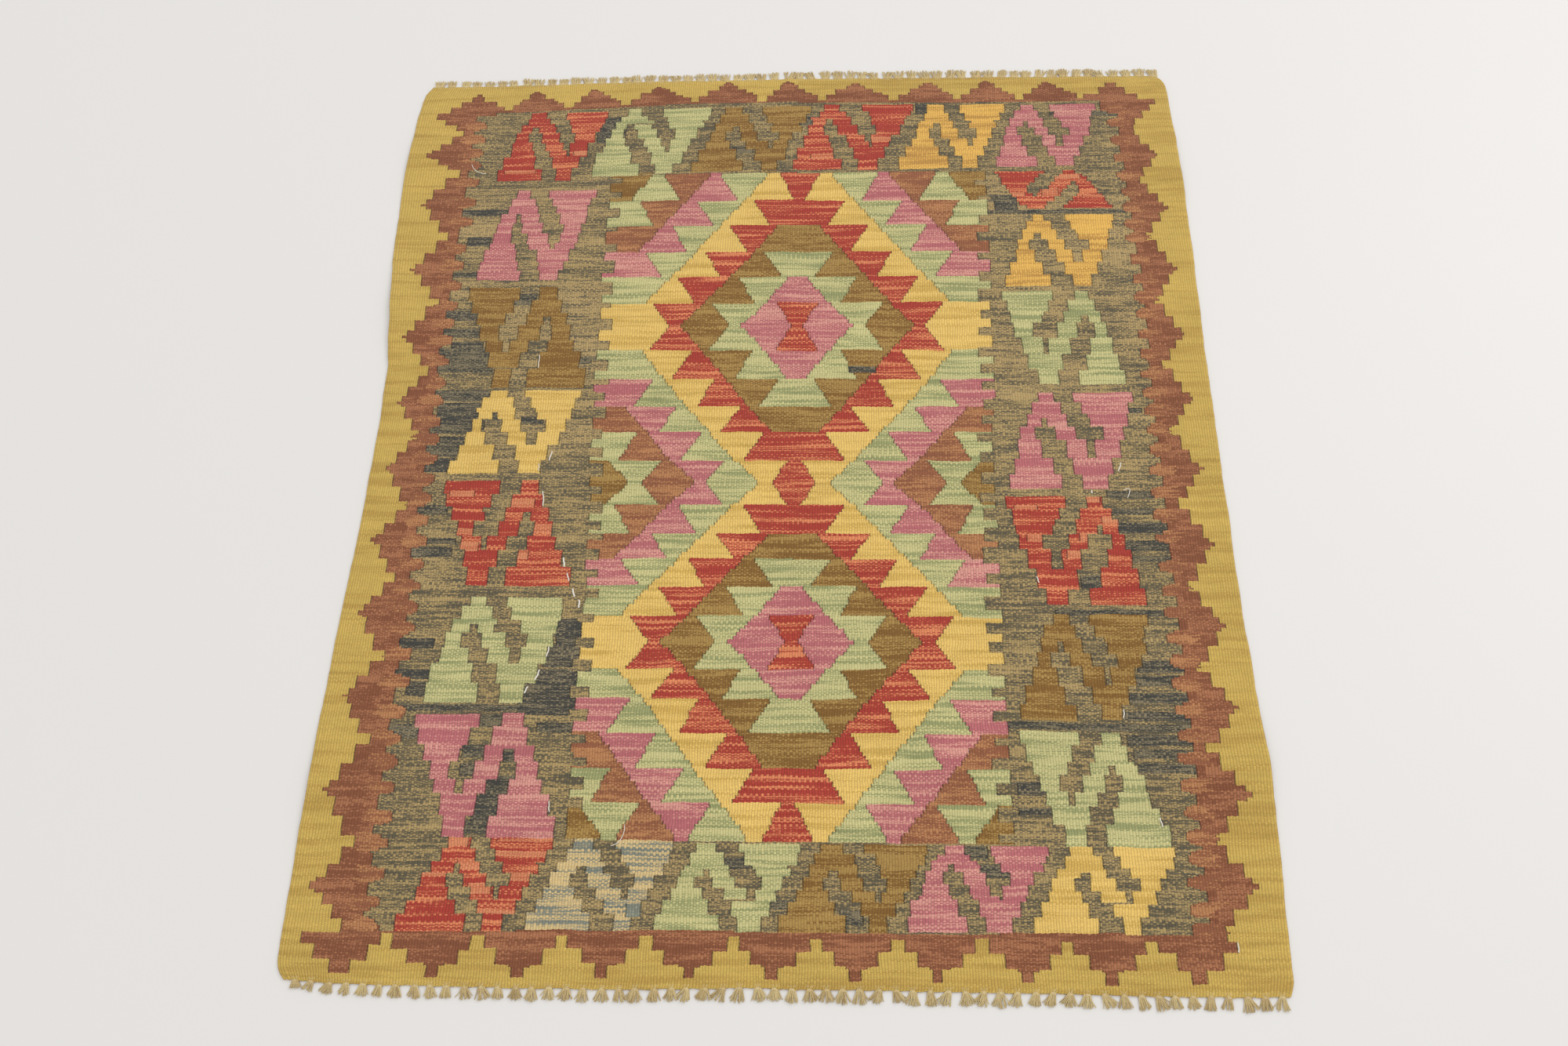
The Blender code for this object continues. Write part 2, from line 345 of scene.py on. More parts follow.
# Where the weaver ran out of khaki and went on in charcoal. Columns: left, right, near, far.
DARK_PATCHES = (
    (-437, -360, 376, 385), (-437, -405, 465, 468), (-424, -396, 326, 340),
    (-438, -405, 273, 283), (-352, -325, 230, 248), (-437, -396, 206, 221),
    (-437, -392, 180, 195), (-425, -385, 150, 174), (-440, -372, 128, 164),
    (-437, -360, 85, 101), (-430, -370, 44, 84), (-437, -380, 40, 52), (-437, -385, 8, 36),
    (-437, -400, -14, 6), (-372, -350, 58, 72), (-326, -300, 54, 64), (-264, -232, 140, 152),
    (-436, -400, -72, -60), (-436, -390, -128, -116), (-436, -385, -112, -104),
    (-433, -395, -244, -230), (-433, -390, -279, -268), (-420, -385, -300, -282),
    (-432, -225, -317, -309), (-262, -225, -228, -206), (-270, -225, -266, -238),
    (-292, -225, -322, -268), (-268, -225, -340, -330), (-432, -392, -350, -332),
    (-335, -308, -336, -322), (-348, -322, -371, -357), (-347, -328, -390, -376),
    (-302, -288, -376, -354), (-322, -285, -412, -390), (-330, -300, -440, -412),
    (-336, -310, -455, -440), (-270, -230, 500, 545), (-100, -60, 480, 492),
    (-10, 30, 530, 545), (160, 185, 546, 566), (340, 430, 541, 549), (260, 290, 380, 402),
    (235, 290, 395, 406), (250, 430, 375, 380), (384, 420, 68, 76), (370, 437, -48, -38),
    (375, 437, -70, -62), (380, 437, -94, -80), (385, 437, -117, -103), (330, 370, -165, -148),
    (390, 437, -132, -124), (300, 437, -200, -192), (385, 437, -266, -254),
    (380, 437, -283, -270), (370, 437, -303, -292), (362, 437, -322, -312),
    (240, 437, -335, -326), (368, 437, -352, -340), (372, 437, -366, -356),
    (376, 437, -382, -373), (228, 285, -408, -394), (228, 285, -428, -420),
    (345, 375, -182, -166), (190, 215, -475, -462), (205, 240, -495, -482),
    (-60, -30, -490, -478), (-10, 15, -530, -520), (60, 85, -545, -530), (-256, -225, -240, -206),
)
ODD_PATCHES = (("blue", -158, -143, -540, -525), ("charcoal", 70, 103, 127, 137))
# Where the orange bath went on for some rows of a red hook.
ORANGE_ROWS = (
    (-354, -328, -468, -459), (-338, -310, -493, -483), (-322, -300, -518, -507),
    (-300, -240, -463, -460), (-300, -240, -478, -473), (-285, -255, -505, -494),
    (-390, -340, -500, -496), (-310, -270, -538, -534),
    (262, 300, 404, 410), (330, 372, 432, 440), (375, 402, 400, 406), (322, 345, 402, 418),
    (-400, -372, -48, -40), (-330, -300, -62, -50), (-300, -262, -96, -84), (-395, -365, -98, -90),
    (-392, -360, -120, -108), (-335, -300, -130, -118),
    (262, 290, -64, -58), (330, 360, -54, -46), (335, 362, -106, -94), (275, 300, -106, -96),
    (362, 388, -82, -72), (318, 345, -128, -118),
    (-390, -345, 446, 452), (-300, -262, 478, 486), (20, 60, 470, 478), (100, 150, 500, 508),
)

# --- The fringes ------------------------------------------------------------------------------
TASSELS = 58
NEAR_SPAN = (-496, 505)
FAR_SPAN = (-504, 494)
NEAR_LENGTH = ((-500, 10.0), (-420, 13.0), (-280, 14.0), (-100, 14.5), (500, 15.0))
FAR_LENGTH = ((-500, 12.8), (-300, 13.5), (-150, 14.0), (0, 15.0), (150, 15.5), (500, 14.2))
NEAR_FAN = (0.27, 0.50)
FAR_FAN = (0.18, 0.38)
NEAR_NECK = 2.4
FAR_NECK = 4.4
KNOT_HALF = (2.2, 1.6, 1.5)
# How far the warps drawn together under a knot come from, across and along.
DRAWN_ACROSS = (3.0, 5.5)
DRAWN_ALONG = 4.5
STRAND_SIDES = 4
STRAND_STEPS = 4
LOWEST = 0.02

# --- The mends --------------------------------------------------------------------------------
MEND_SIDES = 5
MEND_STEPS = 10
CLOTH_MM = 3.0
# Pale cotton stitches over worn slits, and three loose ends of yarn, whose share is 0.7 or less.
# Columns: start, bend, end, share of the mending thread's thickness.
MENDS = (
    ((-313, 155), (-312, 145), (-313, 135), 0.9), ((-284, 15), (-285, 9), (-287, 2), 1.0),
    ((-298, -2), (-298, -7), (-298, -12), 0.8), ((-290, -40), (-288, -50), (-288, -60), 1.0),
    ((-258, -128), (-256, -134), (-256, -140), 1.5), ((-252, -148), (-250, -153), (-249, -158), 1.1),
    ((-244, -168), (-242, -173), (-241, -178), 1.5), ((-264, -240), (-264, -246), (-266, -252), 1.1),
    ((-272, -268), (-273, -274), (-276, -280), 1.4), ((-283, -288), (-285, -292), (-286, -296), 1.2),
    ((-247, -418), (-247, -424), (-246, -430), 0.9), ((390, 0), (389, -6), (386, -12), 1.0),
    ((353, -38), (353, -40), (353, -42), 1.2), ((283, -150), (284, -154), (285, -158), 1.0),
    ((367, -310), (367, -315), (366, -320), 1.0), ((394, -430), (395, -435), (396, -440), 1.0),
    ((459, -558), (459, -563), (459, -568), 1.0), ((394, -48), (402, -30), (390, -38), 0.7),
    ((-434, 464), (-430, 448), (-413, 447), 0.6), ((-165, -443), (-163, -462), (-178, -466), 0.6),
    ((-235, -182), (-234, -187), (-235, -192), 1.4),
)

# --- The stage --------------------------------------------------------------------------------
# The floor lies a hair under the cloth, so that the two never share a plane.
FLOOR_UNDER = 0.05
# The camera's place and its turn in degrees, fitted to the cloth's corners in the photo.
CAMERA_AT = (61.75, -924.72, 1555.5)
CAMERA_TURN = (28.511, 1.822, 1.147)
CAMERA_LENS = 35.0


def linear(hex_colour):
    """An sRGB hex colour as linear red, green and blue."""
    parts = [int(hex_colour[k : k + 2], 16) / 255.0 for k in (0, 2, 4)]
    return tuple(p / 12.92 if p <= 0.04045 else ((p + 0.055) / 1.055) ** 2.4 for p in parts)


def dye(name, hex_colour, words):
    """A colour property whose default is that hex colour."""
    return FloatVectorProperty(
        name=name, description=words, subtype="COLOR", size=3, min=0.0, max=1.0,
        default=linear(hex_colour),
    )


def millimetres(name, value, words):
    """A length property in metres whose default is given in millimetres."""
    return FloatProperty(
        name=name, description=words, default=value * MM, min=0.0, unit="LENGTH", subtype="DISTANCE"
    )


class RugYarns(bpy.types.PropertyGroup):
    """The two shades of each dyed yarn."""

    ochre: dye("Ochre", "D1B05C", "Ground of the outer border")
    ochre_second: dye("Ochre, second bath", "C09D50", "Browner wefts in the ochre")
    brown: dye("Red-brown", "8A553B", "Stepped triangles of the border")
    brown_second: dye("Red-brown, second bath", "AE7452", "Lighter wefts in the red-brown")
    rust: dye("Rust", "965F43", "Teeth in the marled field, and a ring of the medallions")
    rust_second: dye("Rust, second bath", "BC8458", "Lighter wefts in the rust")
    marl: dye("Khaki", "BDA16D", "Lighter half of the marled field yarn")
    marl_second: dye("Slate grey", "645C4B", "Darker half of the marled field yarn")
    marl_third: dye("Green cast", "D3DACB", "Tints the greener batches of marled yarn")
    red: dye("Madder red", "AE4236", "Red hooks and medallion rings")
    red_second: dye("Orange red", "E48C60", "Orange stripes in the red")
    orange: dye("Orange", "DD8F66", "Rows of the red hooks where the orange bath lasted")
    orange_second: dye("Orange, second bath", "C9704F", "Redder wefts in the orange")
    pink: dye("Dusty pink", "BC6D70", "Pink hooks and hearts")
    pink_second: dye("Pale pink", "DE9D8F", "Paler stripes in the pink")
    green: dye("Pale green", "CFC78B", "Green hooks and rings")
    green_second: dye("Sage green", "9C9F6C", "Darker bands in the green")
    yellow: dye("Soft yellow", "EDC670", "Yellow medallion ring")
    yellow_second: dye("Deep yellow", "D5AE5A", "Deeper wefts in the yellow")
    golden: dye("Golden yellow", "EBB95E", "Golden hooks")
    golden_second: dye("Amber", "C4934C", "Deeper wefts in the golden yellow")
    olive: dye("Olive brown", "886332", "Olive-brown hooks and rings")
    olive_second: dye("Light olive brown", "AF8C4F", "Lighter bands in the olive brown")
    cream: dye("Cream", "DDC189", "Light stripes of the striped hook")
    cream_second: dye("Blue grey", "80857A", "Blue-grey stripes of the striped hook")
    blue: dye("Pale blue", "84887A", "One blue-grey patch")
    blue_second: dye("Grey", "9C9D88", "Greyer wefts in the blue-grey")
    charcoal: dye("Charcoal", "474641", "Dark wefts where the khaki ran out")
    charcoal_second: dye("Dark khaki", "8A7D62", "Khaki beads in the charcoal")
    warp: dye("Undyed warp", "E6D19C", "Yarn of the warps and tassels")
    warp_second: dye("Undyed warp, shaded", "C1A473", "Darker plies of the warp yarn")
    mend: dye("Mending cotton", "F0E9DC", "Pale stitches over worn slits")
    mend_second: dye("Mending cotton, dusty", "DDD2BC", "Dustier parts of the stitches")


class RugSizes(bpy.types.PropertyGroup):
    """Sizes of the weave and the fringe."""

    rib_relief: millimetres("Rib relief", 0.45, "How far each warp's rib stands up")
    pick_mm: FloatProperty(
        name="Weft pitch", description="Millimetres between wefts on one rib", default=1.25, min=0.5
    )
    pick_relief: millimetres("Weft relief", 0.16, "How far each weft stands up on its rib")
    slit_depth: millimetres("Slit depth", 0.7, "Depth of the slits between colours")
    wander: FloatProperty(
        name="Wander", description="Millimetres by which edges wander", default=0.9, min=0.0
    )
    strands: IntProperty(
        name="Strands", description="Strands in each tassel", default=20, min=3, max=24
    )
    strand: millimetres("Strand thickness", 1.2, "Diameter of one strand of a tassel")
    mend: millimetres("Mending thread", 1.5, "Diameter of the mending thread")


class RugStage(bpy.types.PropertyGroup):
    """The floor and lights."""

    floor: dye("Floor", "E6E3E0", "Plain pale floor")
    floor_side: FloatProperty(
        name="Floor side", description="Side of the floor", default=12.0, unit="LENGTH"
    )
    world: FloatProperty(
        name="Ambient light", description="Strength of the even light from all round", default=0.88
    )
    key: FloatProperty(
        name="Window light", description="Power of the large soft light", default=82.0,
        unit="POWER",
    )


# --- Reading tables ---------------------------------------------------------------------------
def read(table, at):
    """The table's second column where its first column is at, by straight lines."""
    return float(np.interp(at, [row[0] for row in table], [row[1] for row in table]))


SLANT_GRID = np.array([row[1:] for row in SLANT])
SLANT_LEVELS = np.array([row[0] for row in SLANT])


def slant(x, level):
    """How far above its level on the loom the weft at x lies."""
    at = [float(np.interp(level, SLANT_LEVELS, column)) for column in SLANT_GRID.T]
    return float(np.interp(x, SLANT_AT, at))


def swell(x, y):
    """How far the underside stands off the floor at a place."""
    high = 0.0
    for at_x, at_y, reach_x, reach_y, height in SWELLS:
        away = math.hypot((x - at_x) / reach_x, (y - at_y) / reach_y)
        if away < 1.0:
            high += height * 0.5 * (1.0 + math.cos(math.pi * away))
    return high


def side_share(across):
    """How much of the selvedge's wander reaches a place across the loom, with its side."""
    share = (abs(across) - SIDE_STARTS) / (-LOOM_LEFT - SIDE_STARTS)
    return min(max(share, 0.0), 1.0)


def side_shift(across, level):
    """How far sideways a place on the loom lies from there on the floor."""
    share = side_share(across)
    if share == 0.0:
        return 0.0
    if across < 0.0:
        return share * (read(LEFT_EDGE, level) - LOOM_LEFT)
    return share * (read(RIGHT_EDGE, level) + LOOM_LEFT)


def column_of(x, level):
    """The loom column whose left side lies nearest to x."""
    across = x
    for _ in range(3):
        across = x - side_shift(across, level)
    return round((across - LOOM_LEFT) / WARP_MM)


def step_of(x, y):
    """The loom step whose near side lies nearest to y, at x."""
    level = y
    for _ in range(3):
        level = y - slant(x, level)
    return round((level - LOOM_NEAR) / STEP_MM)


# --- Charting the pattern ---------------------------------------------------------------------
class Chart:
    """Which yarn fills each cell of the loom, and which woven block the cell is in."""

    def __init__(self):
        self.yarn = np.zeros((STEPS, WARPS), dtype=np.int16)
        self.block = np.zeros((STEPS, WARPS), dtype=np.int16)
        self.blocks = 1

    def new_block(self):
        """The number of a block that isn't woven yet."""
        self.blocks += 1
        return self.blocks

    def fill(self, yarn, left, right, near, far, block=None, over=None):
        """Weaves one block of a yarn between those places, or only where another yarn was."""
        middle = (left + right) / 2.0
        low, high = step_of(middle, near), step_of(middle, far)
        level = (near + far) / 2.0
        first, last = column_of(left, level), column_of(right, level)
        rows, columns = slice(max(low, 0), max(high, 0)), slice(max(first, 0), max(last, 0))
        here = np.ones_like(self.yarn[rows, columns], dtype=bool)
        if over:
            here = self.yarn[rows, columns] == YARNS.index(over)
        self.yarn[rows, columns][here] = YARNS.index(yarn)
        self.block[rows, columns][here] = block or self.new_block()


def weave_border(chart):
    """The ochre ground, the brown band and its stepped triangles on all four sides."""
    for ends in ((-PAST_LOOM, 0), (0, PAST_LOOM)):
        chart.fill("ochre", *ends, -PAST_LOOM, PAST_LOOM)
    for side, edge in ((-1, LEFT_BAND), (1, RIGHT_BAND)):
        block = chart.new_block()
        for near in range(*BAND_ALONG):
            far = near + BAND_ALONG[2]
            out = read(edge, (near + far) / 2.0)
            chart.fill("brown", *sorted((0.0, out)), near, far, block)
        for left in range(*BAND_ACROSS):
            ends = sorted((side * left, side * (left + BAND_ACROSS[2])))
            middle = (ends[0] + ends[1]) / 2.0
            chart.fill("brown", *ends, BAND_FROM, read(FAR_BAND, middle), block)
            chart.fill("brown", *ends, read(NEAR_BAND, middle), -BAND_FROM, block)
    for rows, band, steps, at_end in (
        (FAR_SIDE, FAR_BAND, FAR_STEPS, True), (NEAR_SIDE, NEAR_BAND, NEAR_STEPS, True),
        (LEFT_SIDE, LEFT_BAND, SIDE_STEPS, False), (RIGHT_SIDE, RIGHT_BAND, SIDE_STEPS, False),
    ):
        weave_triangles(chart, rows, band, steps, at_end)
    for corner in CORNERS:
        chart.fill("brown", *corner)


def weave_triangles(chart, rows, band, steps, at_end):
    """The triangles of one side, step by step from the band to their tips."""
    chance = random.Random(len(rows))
    for (before, place, out), (after, _, _) in zip(rows, rows[1:]):
        base = read(band, place)
        from_band, block = base - math.copysign(4.0, base), chart.new_block()
        before, after = before + VALLEY_HALF, after - VALLEY_HALF
        for share, narrowed, narrowed_too in steps:
            low = before + (place - TIP_HALF - before) * narrowed + chance.uniform(-1.0, 1.0)
            high = after - (after - place - TIP_HALF) * narrowed_too + chance.uniform(-1.0, 1.0)
            to_tip = base + (out - base) * share
            ends = sorted((from_band, to_tip))
            chart.fill("brown", *((low, high, *ends) if at_end else (*ends, low, high)), block)


def weave_dark_field(chart):
    """The marled field inside the border, its dark places and the rust teeth that reach in."""
    for side, edge in ((-1, DARK_LEFT), (1, DARK_RIGHT)):
        block = chart.new_block()
        for left in range(*DARK_ACROSS):
            right = min(left + DARK_ACROSS[2], DARK_ACROSS[1])
            ends = sorted((side * left, side * right))
            middle = (ends[0] + ends[1]) / 2.0
            chart.fill("marl", *ends, read(DARK_NEAR, middle), read(DARK_FAR, middle), block)
        for near in range(*DARK_ALONG):
            far = near + DARK_ALONG[2]
            ends = sorted((side * DARK_FROM, read(edge, (near + far) / 2.0)))
            chart.fill("marl", *ends, near, far, block)
    for patch in DARK_PATCHES:
        chart.fill("charcoal", *patch)
    for side, edge, comb, tips in (
        (-1, DARK_LEFT, LEFT_COMB, LEFT_COMB_TIP), (1, DARK_RIGHT, RIGHT_COMB, RIGHT_COMB_TIP),
    ):
        chance = random.Random(60 + side)
        for middle in comb:
            block, base, tip = chart.new_block(), read(edge, middle), read(tips, middle)
            for share, half in COMB_STEPS:
                near = middle - half + chance.uniform(-1.5, 1.5)
                far = middle + half + chance.uniform(-1.5, 1.5)
                out = base + (tip - base) * share
                chart.fill("rust", *sorted((base, out)), near, far, block)
                while near < far:
                    root = base + side * chance.uniform(*COMB_ROOT)
                    chart.fill("rust", *sorted((base, root)), near, near + STEP_MM, block)
                    near += STEP_MM


def batch_marl(chart):
    """Parts the marled field into the small batches in which it was woven."""
    chance = random.Random(5)
    marl = YARNS.index("marl")
    below = {}
    for row in range(STEPS):
        columns = np.flatnonzero(chart.yarn[row] == marl)
        least = read(BATCH_DARKEST, LOOM_NEAR + row * STEP_MM)
        here = {}
        for run in np.split(columns, np.flatnonzero(np.diff(columns) > 1) + 1):
            if len(run) == 0:
                continue
            block, rows_left = below.get(run[len(run) // 2], (0, 0))
            if rows_left == 0:
                block, rows_left = chart.new_block(), chance.randint(*BATCH_STEPS)
                while (block * BLOCK_SPREAD) % 1.0 < least:
                    block = chart.new_block()
            chart.block[row, run] = block
            here.update((column, (block, rows_left - 1)) for column in run)
        below = here


def weave_hook(chart, rows, yarn, left, right, near, far, turned):
    """One hook motif in its box, row by row from its far side, with the weaver's slips."""
    chance = random.Random(int(left * 7 + near))
    blocks = [chart.new_block() for _ in range(3)]
    top = far
    for share, spans in rows:
        bottom = far - (far - near) * share
        if share < 1.0:
            bottom += chance.choice((-STEP_MM, 0.0, 0.0, STEP_MM)) * 0.5
        for number, (start, end) in enumerate(spans):
            if turned:
                start, end = 1.0 - end, 1.0 - start
            slip, slip_too = (chance.uniform(-1.6, 1.6) for _ in range(2))
            a, b = left + (right - left) * start + slip, left + (right - left) * end + slip_too
            chart.fill(yarn, a, b, bottom, top, blocks[number])
        top = bottom


def ring_edges(row, part):
    """Distances from the field's middle line at which the medallion's colours meet."""
    through = (part + 0.5) / ROW_PARTS
    edges = []
    for ring in range(5):
        # A diamond ends bluntly, with the last row that it fills from end to end.
        start = SMOOTH_FROM + RING_WIDE * ring - SMOOTH_IN * row
        edges.append(start - SMOOTH_IN * through if start > SMOOTH_IN else 0.0)
        start = SAW_FROM + RING_WIDE * ring - SAW_IN * row
        edges.append(start + SAW_OUT * through if start > 0.0 else 0.0)
    return edges[: len(RINGS) - 1]


def weave_row_part(chart, row, part, near, far, blocks):
    """One even part of one row of a medallion, both sides of the middle line."""
    edges = ring_edges(row, part)
    widest = 4 + row
    for side in (-1.0, 1.0):
        inner = 0.0
        for ring, yarn in enumerate(RINGS):
            outer = edges[ring] if ring < min(widest, len(edges)) else PAST_FIELD
            if outer > inner:
                key = (row, ring, side if inner > 0.0 else 0.0)
                blocks.setdefault(key, chart.new_block())
                a, b = sorted((FIELD_MIDDLE + side * inner, FIELD_MIDDLE + side * outer))
                a = max(a, read(FIELD_LEFT, near))
                b = min(b, read(FIELD_RIGHT, near))
                chart.fill(yarn, a, b, near - STEP_MM / 2.0, far + STEP_MM / 2.0, blocks[key])
                inner = outer
            if ring >= widest:
                break


def weave_heart(chart, middle, end):
    """The red that widens from a medallion's middle to the end of its first row."""
    block = chart.new_block()
    for part in range(ROW_PARTS):
        half = HEART_HALF[0] + HEART_HALF[1] * (part + 0.5) / ROW_PARTS
        near, far = sorted(middle + (end - middle) * (part + k) / ROW_PARTS for k in (-0.3, 1.0))
        chart.fill("red", FIELD_MIDDLE - half, FIELD_MIDDLE + half, near, far, block)


def weave_field(chart):
    """The middle field with its two medallions, and the teeth at its sides."""
    for middle, upward, downward in MEDALLIONS:
        for ends in (upward, downward):
            blocks = {}
            for row, (start, end) in enumerate(zip((middle, *ends), ends)):
                for part in range(ROW_PARTS):
                    a = start + (end - start) * part / ROW_PARTS
                    b = start + (end - start) * (part + 1) / ROW_PARTS
                    weave_row_part(chart, row, part, min(a, b), max(a, b), blocks)
            weave_heart(chart, middle, ends[0])
    for side, edge, teeth in ((-1, FIELD_LEFT, LEFT_TEETH), (1, FIELD_RIGHT, RIGHT_TEETH)):
        chance = random.Random(30 + side)
        for near, far in teeth:
            out = read(edge, (near + far) / 2.0)
            tip = out - side * (FIELD_TOOTH + chance.uniform(-2.0, 2.0))
            chart.fill("marl", *sorted((tip, out + side * 6.0)), near, far)


def weave_pattern():
    """The whole rug's chart."""
    chart = Chart()
    weave_border(chart)
    weave_dark_field(chart)
    weave_field(chart)
    for hook in HOOKS:
        weave_hook(chart, *hook)
    chart.fill("marl", FIELD_LINE_FROM, 0.0, *FIELD_LINE)
    chart.fill("marl", 0.0, FIELD_LINE_TO, *FIELD_LINE)
    for patch in ODD_PATCHES:
        chart.fill(*patch)
    for patch in ORANGE_ROWS:
        chart.fill("orange", *patch, over="red")
    batch_marl(chart)
    return chart


def slits_of(yarn):
    """For each cell 1 where another yarn starts on its right, 2 on its left, 3 on both."""
    # The rust wefts run on into the brown band, so there is no slit between those two.
    joined = np.where(yarn == YARNS.index("rust"), YARNS.index("brown"), yarn)
    meets = joined[:, :-1] != joined[:, 1:]
    slit = np.zeros(yarn.shape, dtype=np.int16)
    slit[:, :-1] += meets
    slit[:, 1:] += 2 * meets
    return slit


# --- The cloth's mesh -------------------------------------------------------------------------
def lie(across, level, wander):
    """Where a place on the loom lies on the floor: x, y and the height of its underside."""
    x = across + side_shift(across, level)
    y = level + slant(x, level)
    rough = Vector((across * 0.022, level * 0.022, 3.7))
    fine = Vector((across * 0.075, level * 0.075, 9.1))
    inside = 1.0 - 0.6 * side_share(across)
    x += wander * (noise.noise(rough) * 1.3 + noise.noise(fine) * 1.5 * inside)
    rough, fine = rough + Vector((40, 9, 5)), fine + Vector((7, 3, 1))
    y += wander * (noise.noise(rough) * 1.4 + noise.noise(fine))
    return x, y, swell(x, y)


def keeps_edge(level, column, row):
    """Whether the line between two cells of one block stays in the mesh."""
    near_side = min(column, WARPS - column)
    if level:
        return row % BLOCK_STEPS == 0 or row in (1, STEPS - 1) or (near_side < 2 and row % 3 == 0)
    at_end = row < 1 or row >= STEPS - 1
    return column % BLOCK_WARPS == 0 or near_side in (1, 2, 4) or (at_end and column % 3 == 0)


def charted_grid(chart):
    """A flat grid on the loom whose faces are joined where the same block goes on."""
    slit = slits_of(chart.yarn)
    code = chart.yarn.astype(np.int64) * YARN_CODE + chart.block.astype(np.int64) * 4 + slit
    bm = bmesh.new()
    bmesh.ops.create_grid(bm, x_segments=WARPS, y_segments=STEPS, size=0.5)
    layer = bm.faces.layers.int.new("cell")
    for vert in bm.verts:
        vert.co.x = round((vert.co.x + 0.5) * WARPS)
        vert.co.y = round((vert.co.y + 0.5) * STEPS)
    for face in bm.faces:
        middle = face.calc_center_median()
        face[layer] = int(code[int(middle.y), int(middle.x)])
    joined = []
    for edge in bm.edges:
        if len(edge.link_faces) != 2:
            continue
        a, b = edge.link_faces
        if a[layer] != b[layer]:
            continue
        one, two = edge.verts[0].co, edge.verts[1].co
        if not keeps_edge(one.y == two.y, int(min(one.x, two.x)), int(min(one.y, two.y))):
            joined.append(edge)
    bmesh.ops.dissolve_edges(bm, edges=joined, use_verts=False, use_face_split=False)
    idle = [
        vert for vert in bm.verts
        if stands_straight(vert) and len({face[layer] // YARN_CODE for face in vert.link_faces}) == 1
    ]
    bmesh.ops.dissolve_verts(bm, verts=idle)
    return bm


def stands_straight(vert):
    """Whether a vertex only stands along one straight line across or along the loom."""
    if len(vert.link_edges) != 2:
        return False
    one, two = (edge.other_vert(vert).co for edge in vert.link_edges)
    return any(one[axis] == vert.co[axis] == two[axis] for axis in (0, 1))


def cloth_mesh(chart, wander):
    """The cloth as it lies, a thin closed slab with its chart on both faces."""
    bm = charted_grid(chart)
    grown = bmesh.ops.extrude_face_region(bm, geom=list(bm.faces), use_keep_orig=True)
    above = {item for item in grown["geom"] if isinstance(item, bmesh.types.BMVert)}
    idle = [vert for vert in bm.verts if vert not in above and stands_straight(vert)]
    bmesh.ops.dissolve_verts(bm, verts=idle)
    woven = bm.loops.layers.uv.new("woven")
    for face in bm.faces:
        for loop in face.loops:
            loop[woven].uv = (loop.vert.co.x * WARP_MM * MM, loop.vert.co.y * STEP_MM * MM)
    above = {vert for vert in above if vert.is_valid}
    for vert in bm.verts:
        column, step = vert.co.x, vert.co.y
        across = LOOM_LEFT + column * WARP_MM
        level = LOOM_NEAR + step * STEP_MM
        x, y, low = lie(across, level, wander)
        # The wefts pass over and under by turns, so colours meet in small teeth.
        y += TEETH_MM * (1.0 if column % 2 else -1.0)
        x += TEETH_MM * (1.0 if step % 2 else -1.0) * (1.0 - side_share(across))
        inward = min(column, WARPS - column) * WARP_MM
        from_end = min(step, STEPS - step) * STEP_MM
        thick = read(SELVEDGE, inward)
        if inward > 0.0:
            thick = min(thick, read(END_THIN, from_end))
        high = low + thick if vert in above else low
        vert.co = ((x - CENTRE_X) * MM, (y - CENTRE_Y) * MM, high * MM)
    bmesh.ops.recalc_face_normals(bm, faces=bm.faces)
    mesh = bpy.data.meshes.new("kilim_cloth")
    bm.to_mesh(mesh)
    bm.free()
    return mesh


# How the two shades of each yarn are laid in. Columns: share of the second shade, height of its
# bands in millimetres, how strongly single wefts leave the band, length of such a streak, how
# much single beads differ.
SHADING = {
    "ochre": (0.35, 9.0, 0.20, 40.0, 0.08),
    "brown": (0.38, 12.0, 0.40, 30.0, 0.10),
    "rust": (0.42, 8.0, 0.40, 30.0, 0.10),
    "marl": (0.38, 5.0, 0.70, 34.0, 0.50),
    "red": (0.29, 5.0, 0.30, 80.0, 0.06),
    "pink": (0.40, 5.0, 0.35, 70.0, 0.08),
    "green": (0.40, 6.5, 0.40, 60.0, 0.08),
    "yellow": (0.35, 8.0, 0.25, 50.0, 0.08),
    "golden": (0.30, 7.0, 0.30, 50.0, 0.08),
    "olive": (0.45, 8.0, 0.40, 50.0, 0.12),
    "cream": (0.40, 4.0, 0.30, 80.0, 0.10),
    "blue": (0.30, 8.0, 0.40, 30.0, 0.20),
    "charcoal": (0.32, 5.0, 0.80, 30.0, 0.45),
    "orange": (0.30, 4.0, 0.35, 60.0, 0.08),
}
# How much a band of one dye bath drifts for each millimetre along the weft.
BAND_DRIFT = 0.006
SWAY_MM = 1.6


def threshold_for(share):
    """Where noise that mostly lies between 0.3 and 0.7 has that share of itself above."""
    return 0.5 + (0.5 - share) * 0.36


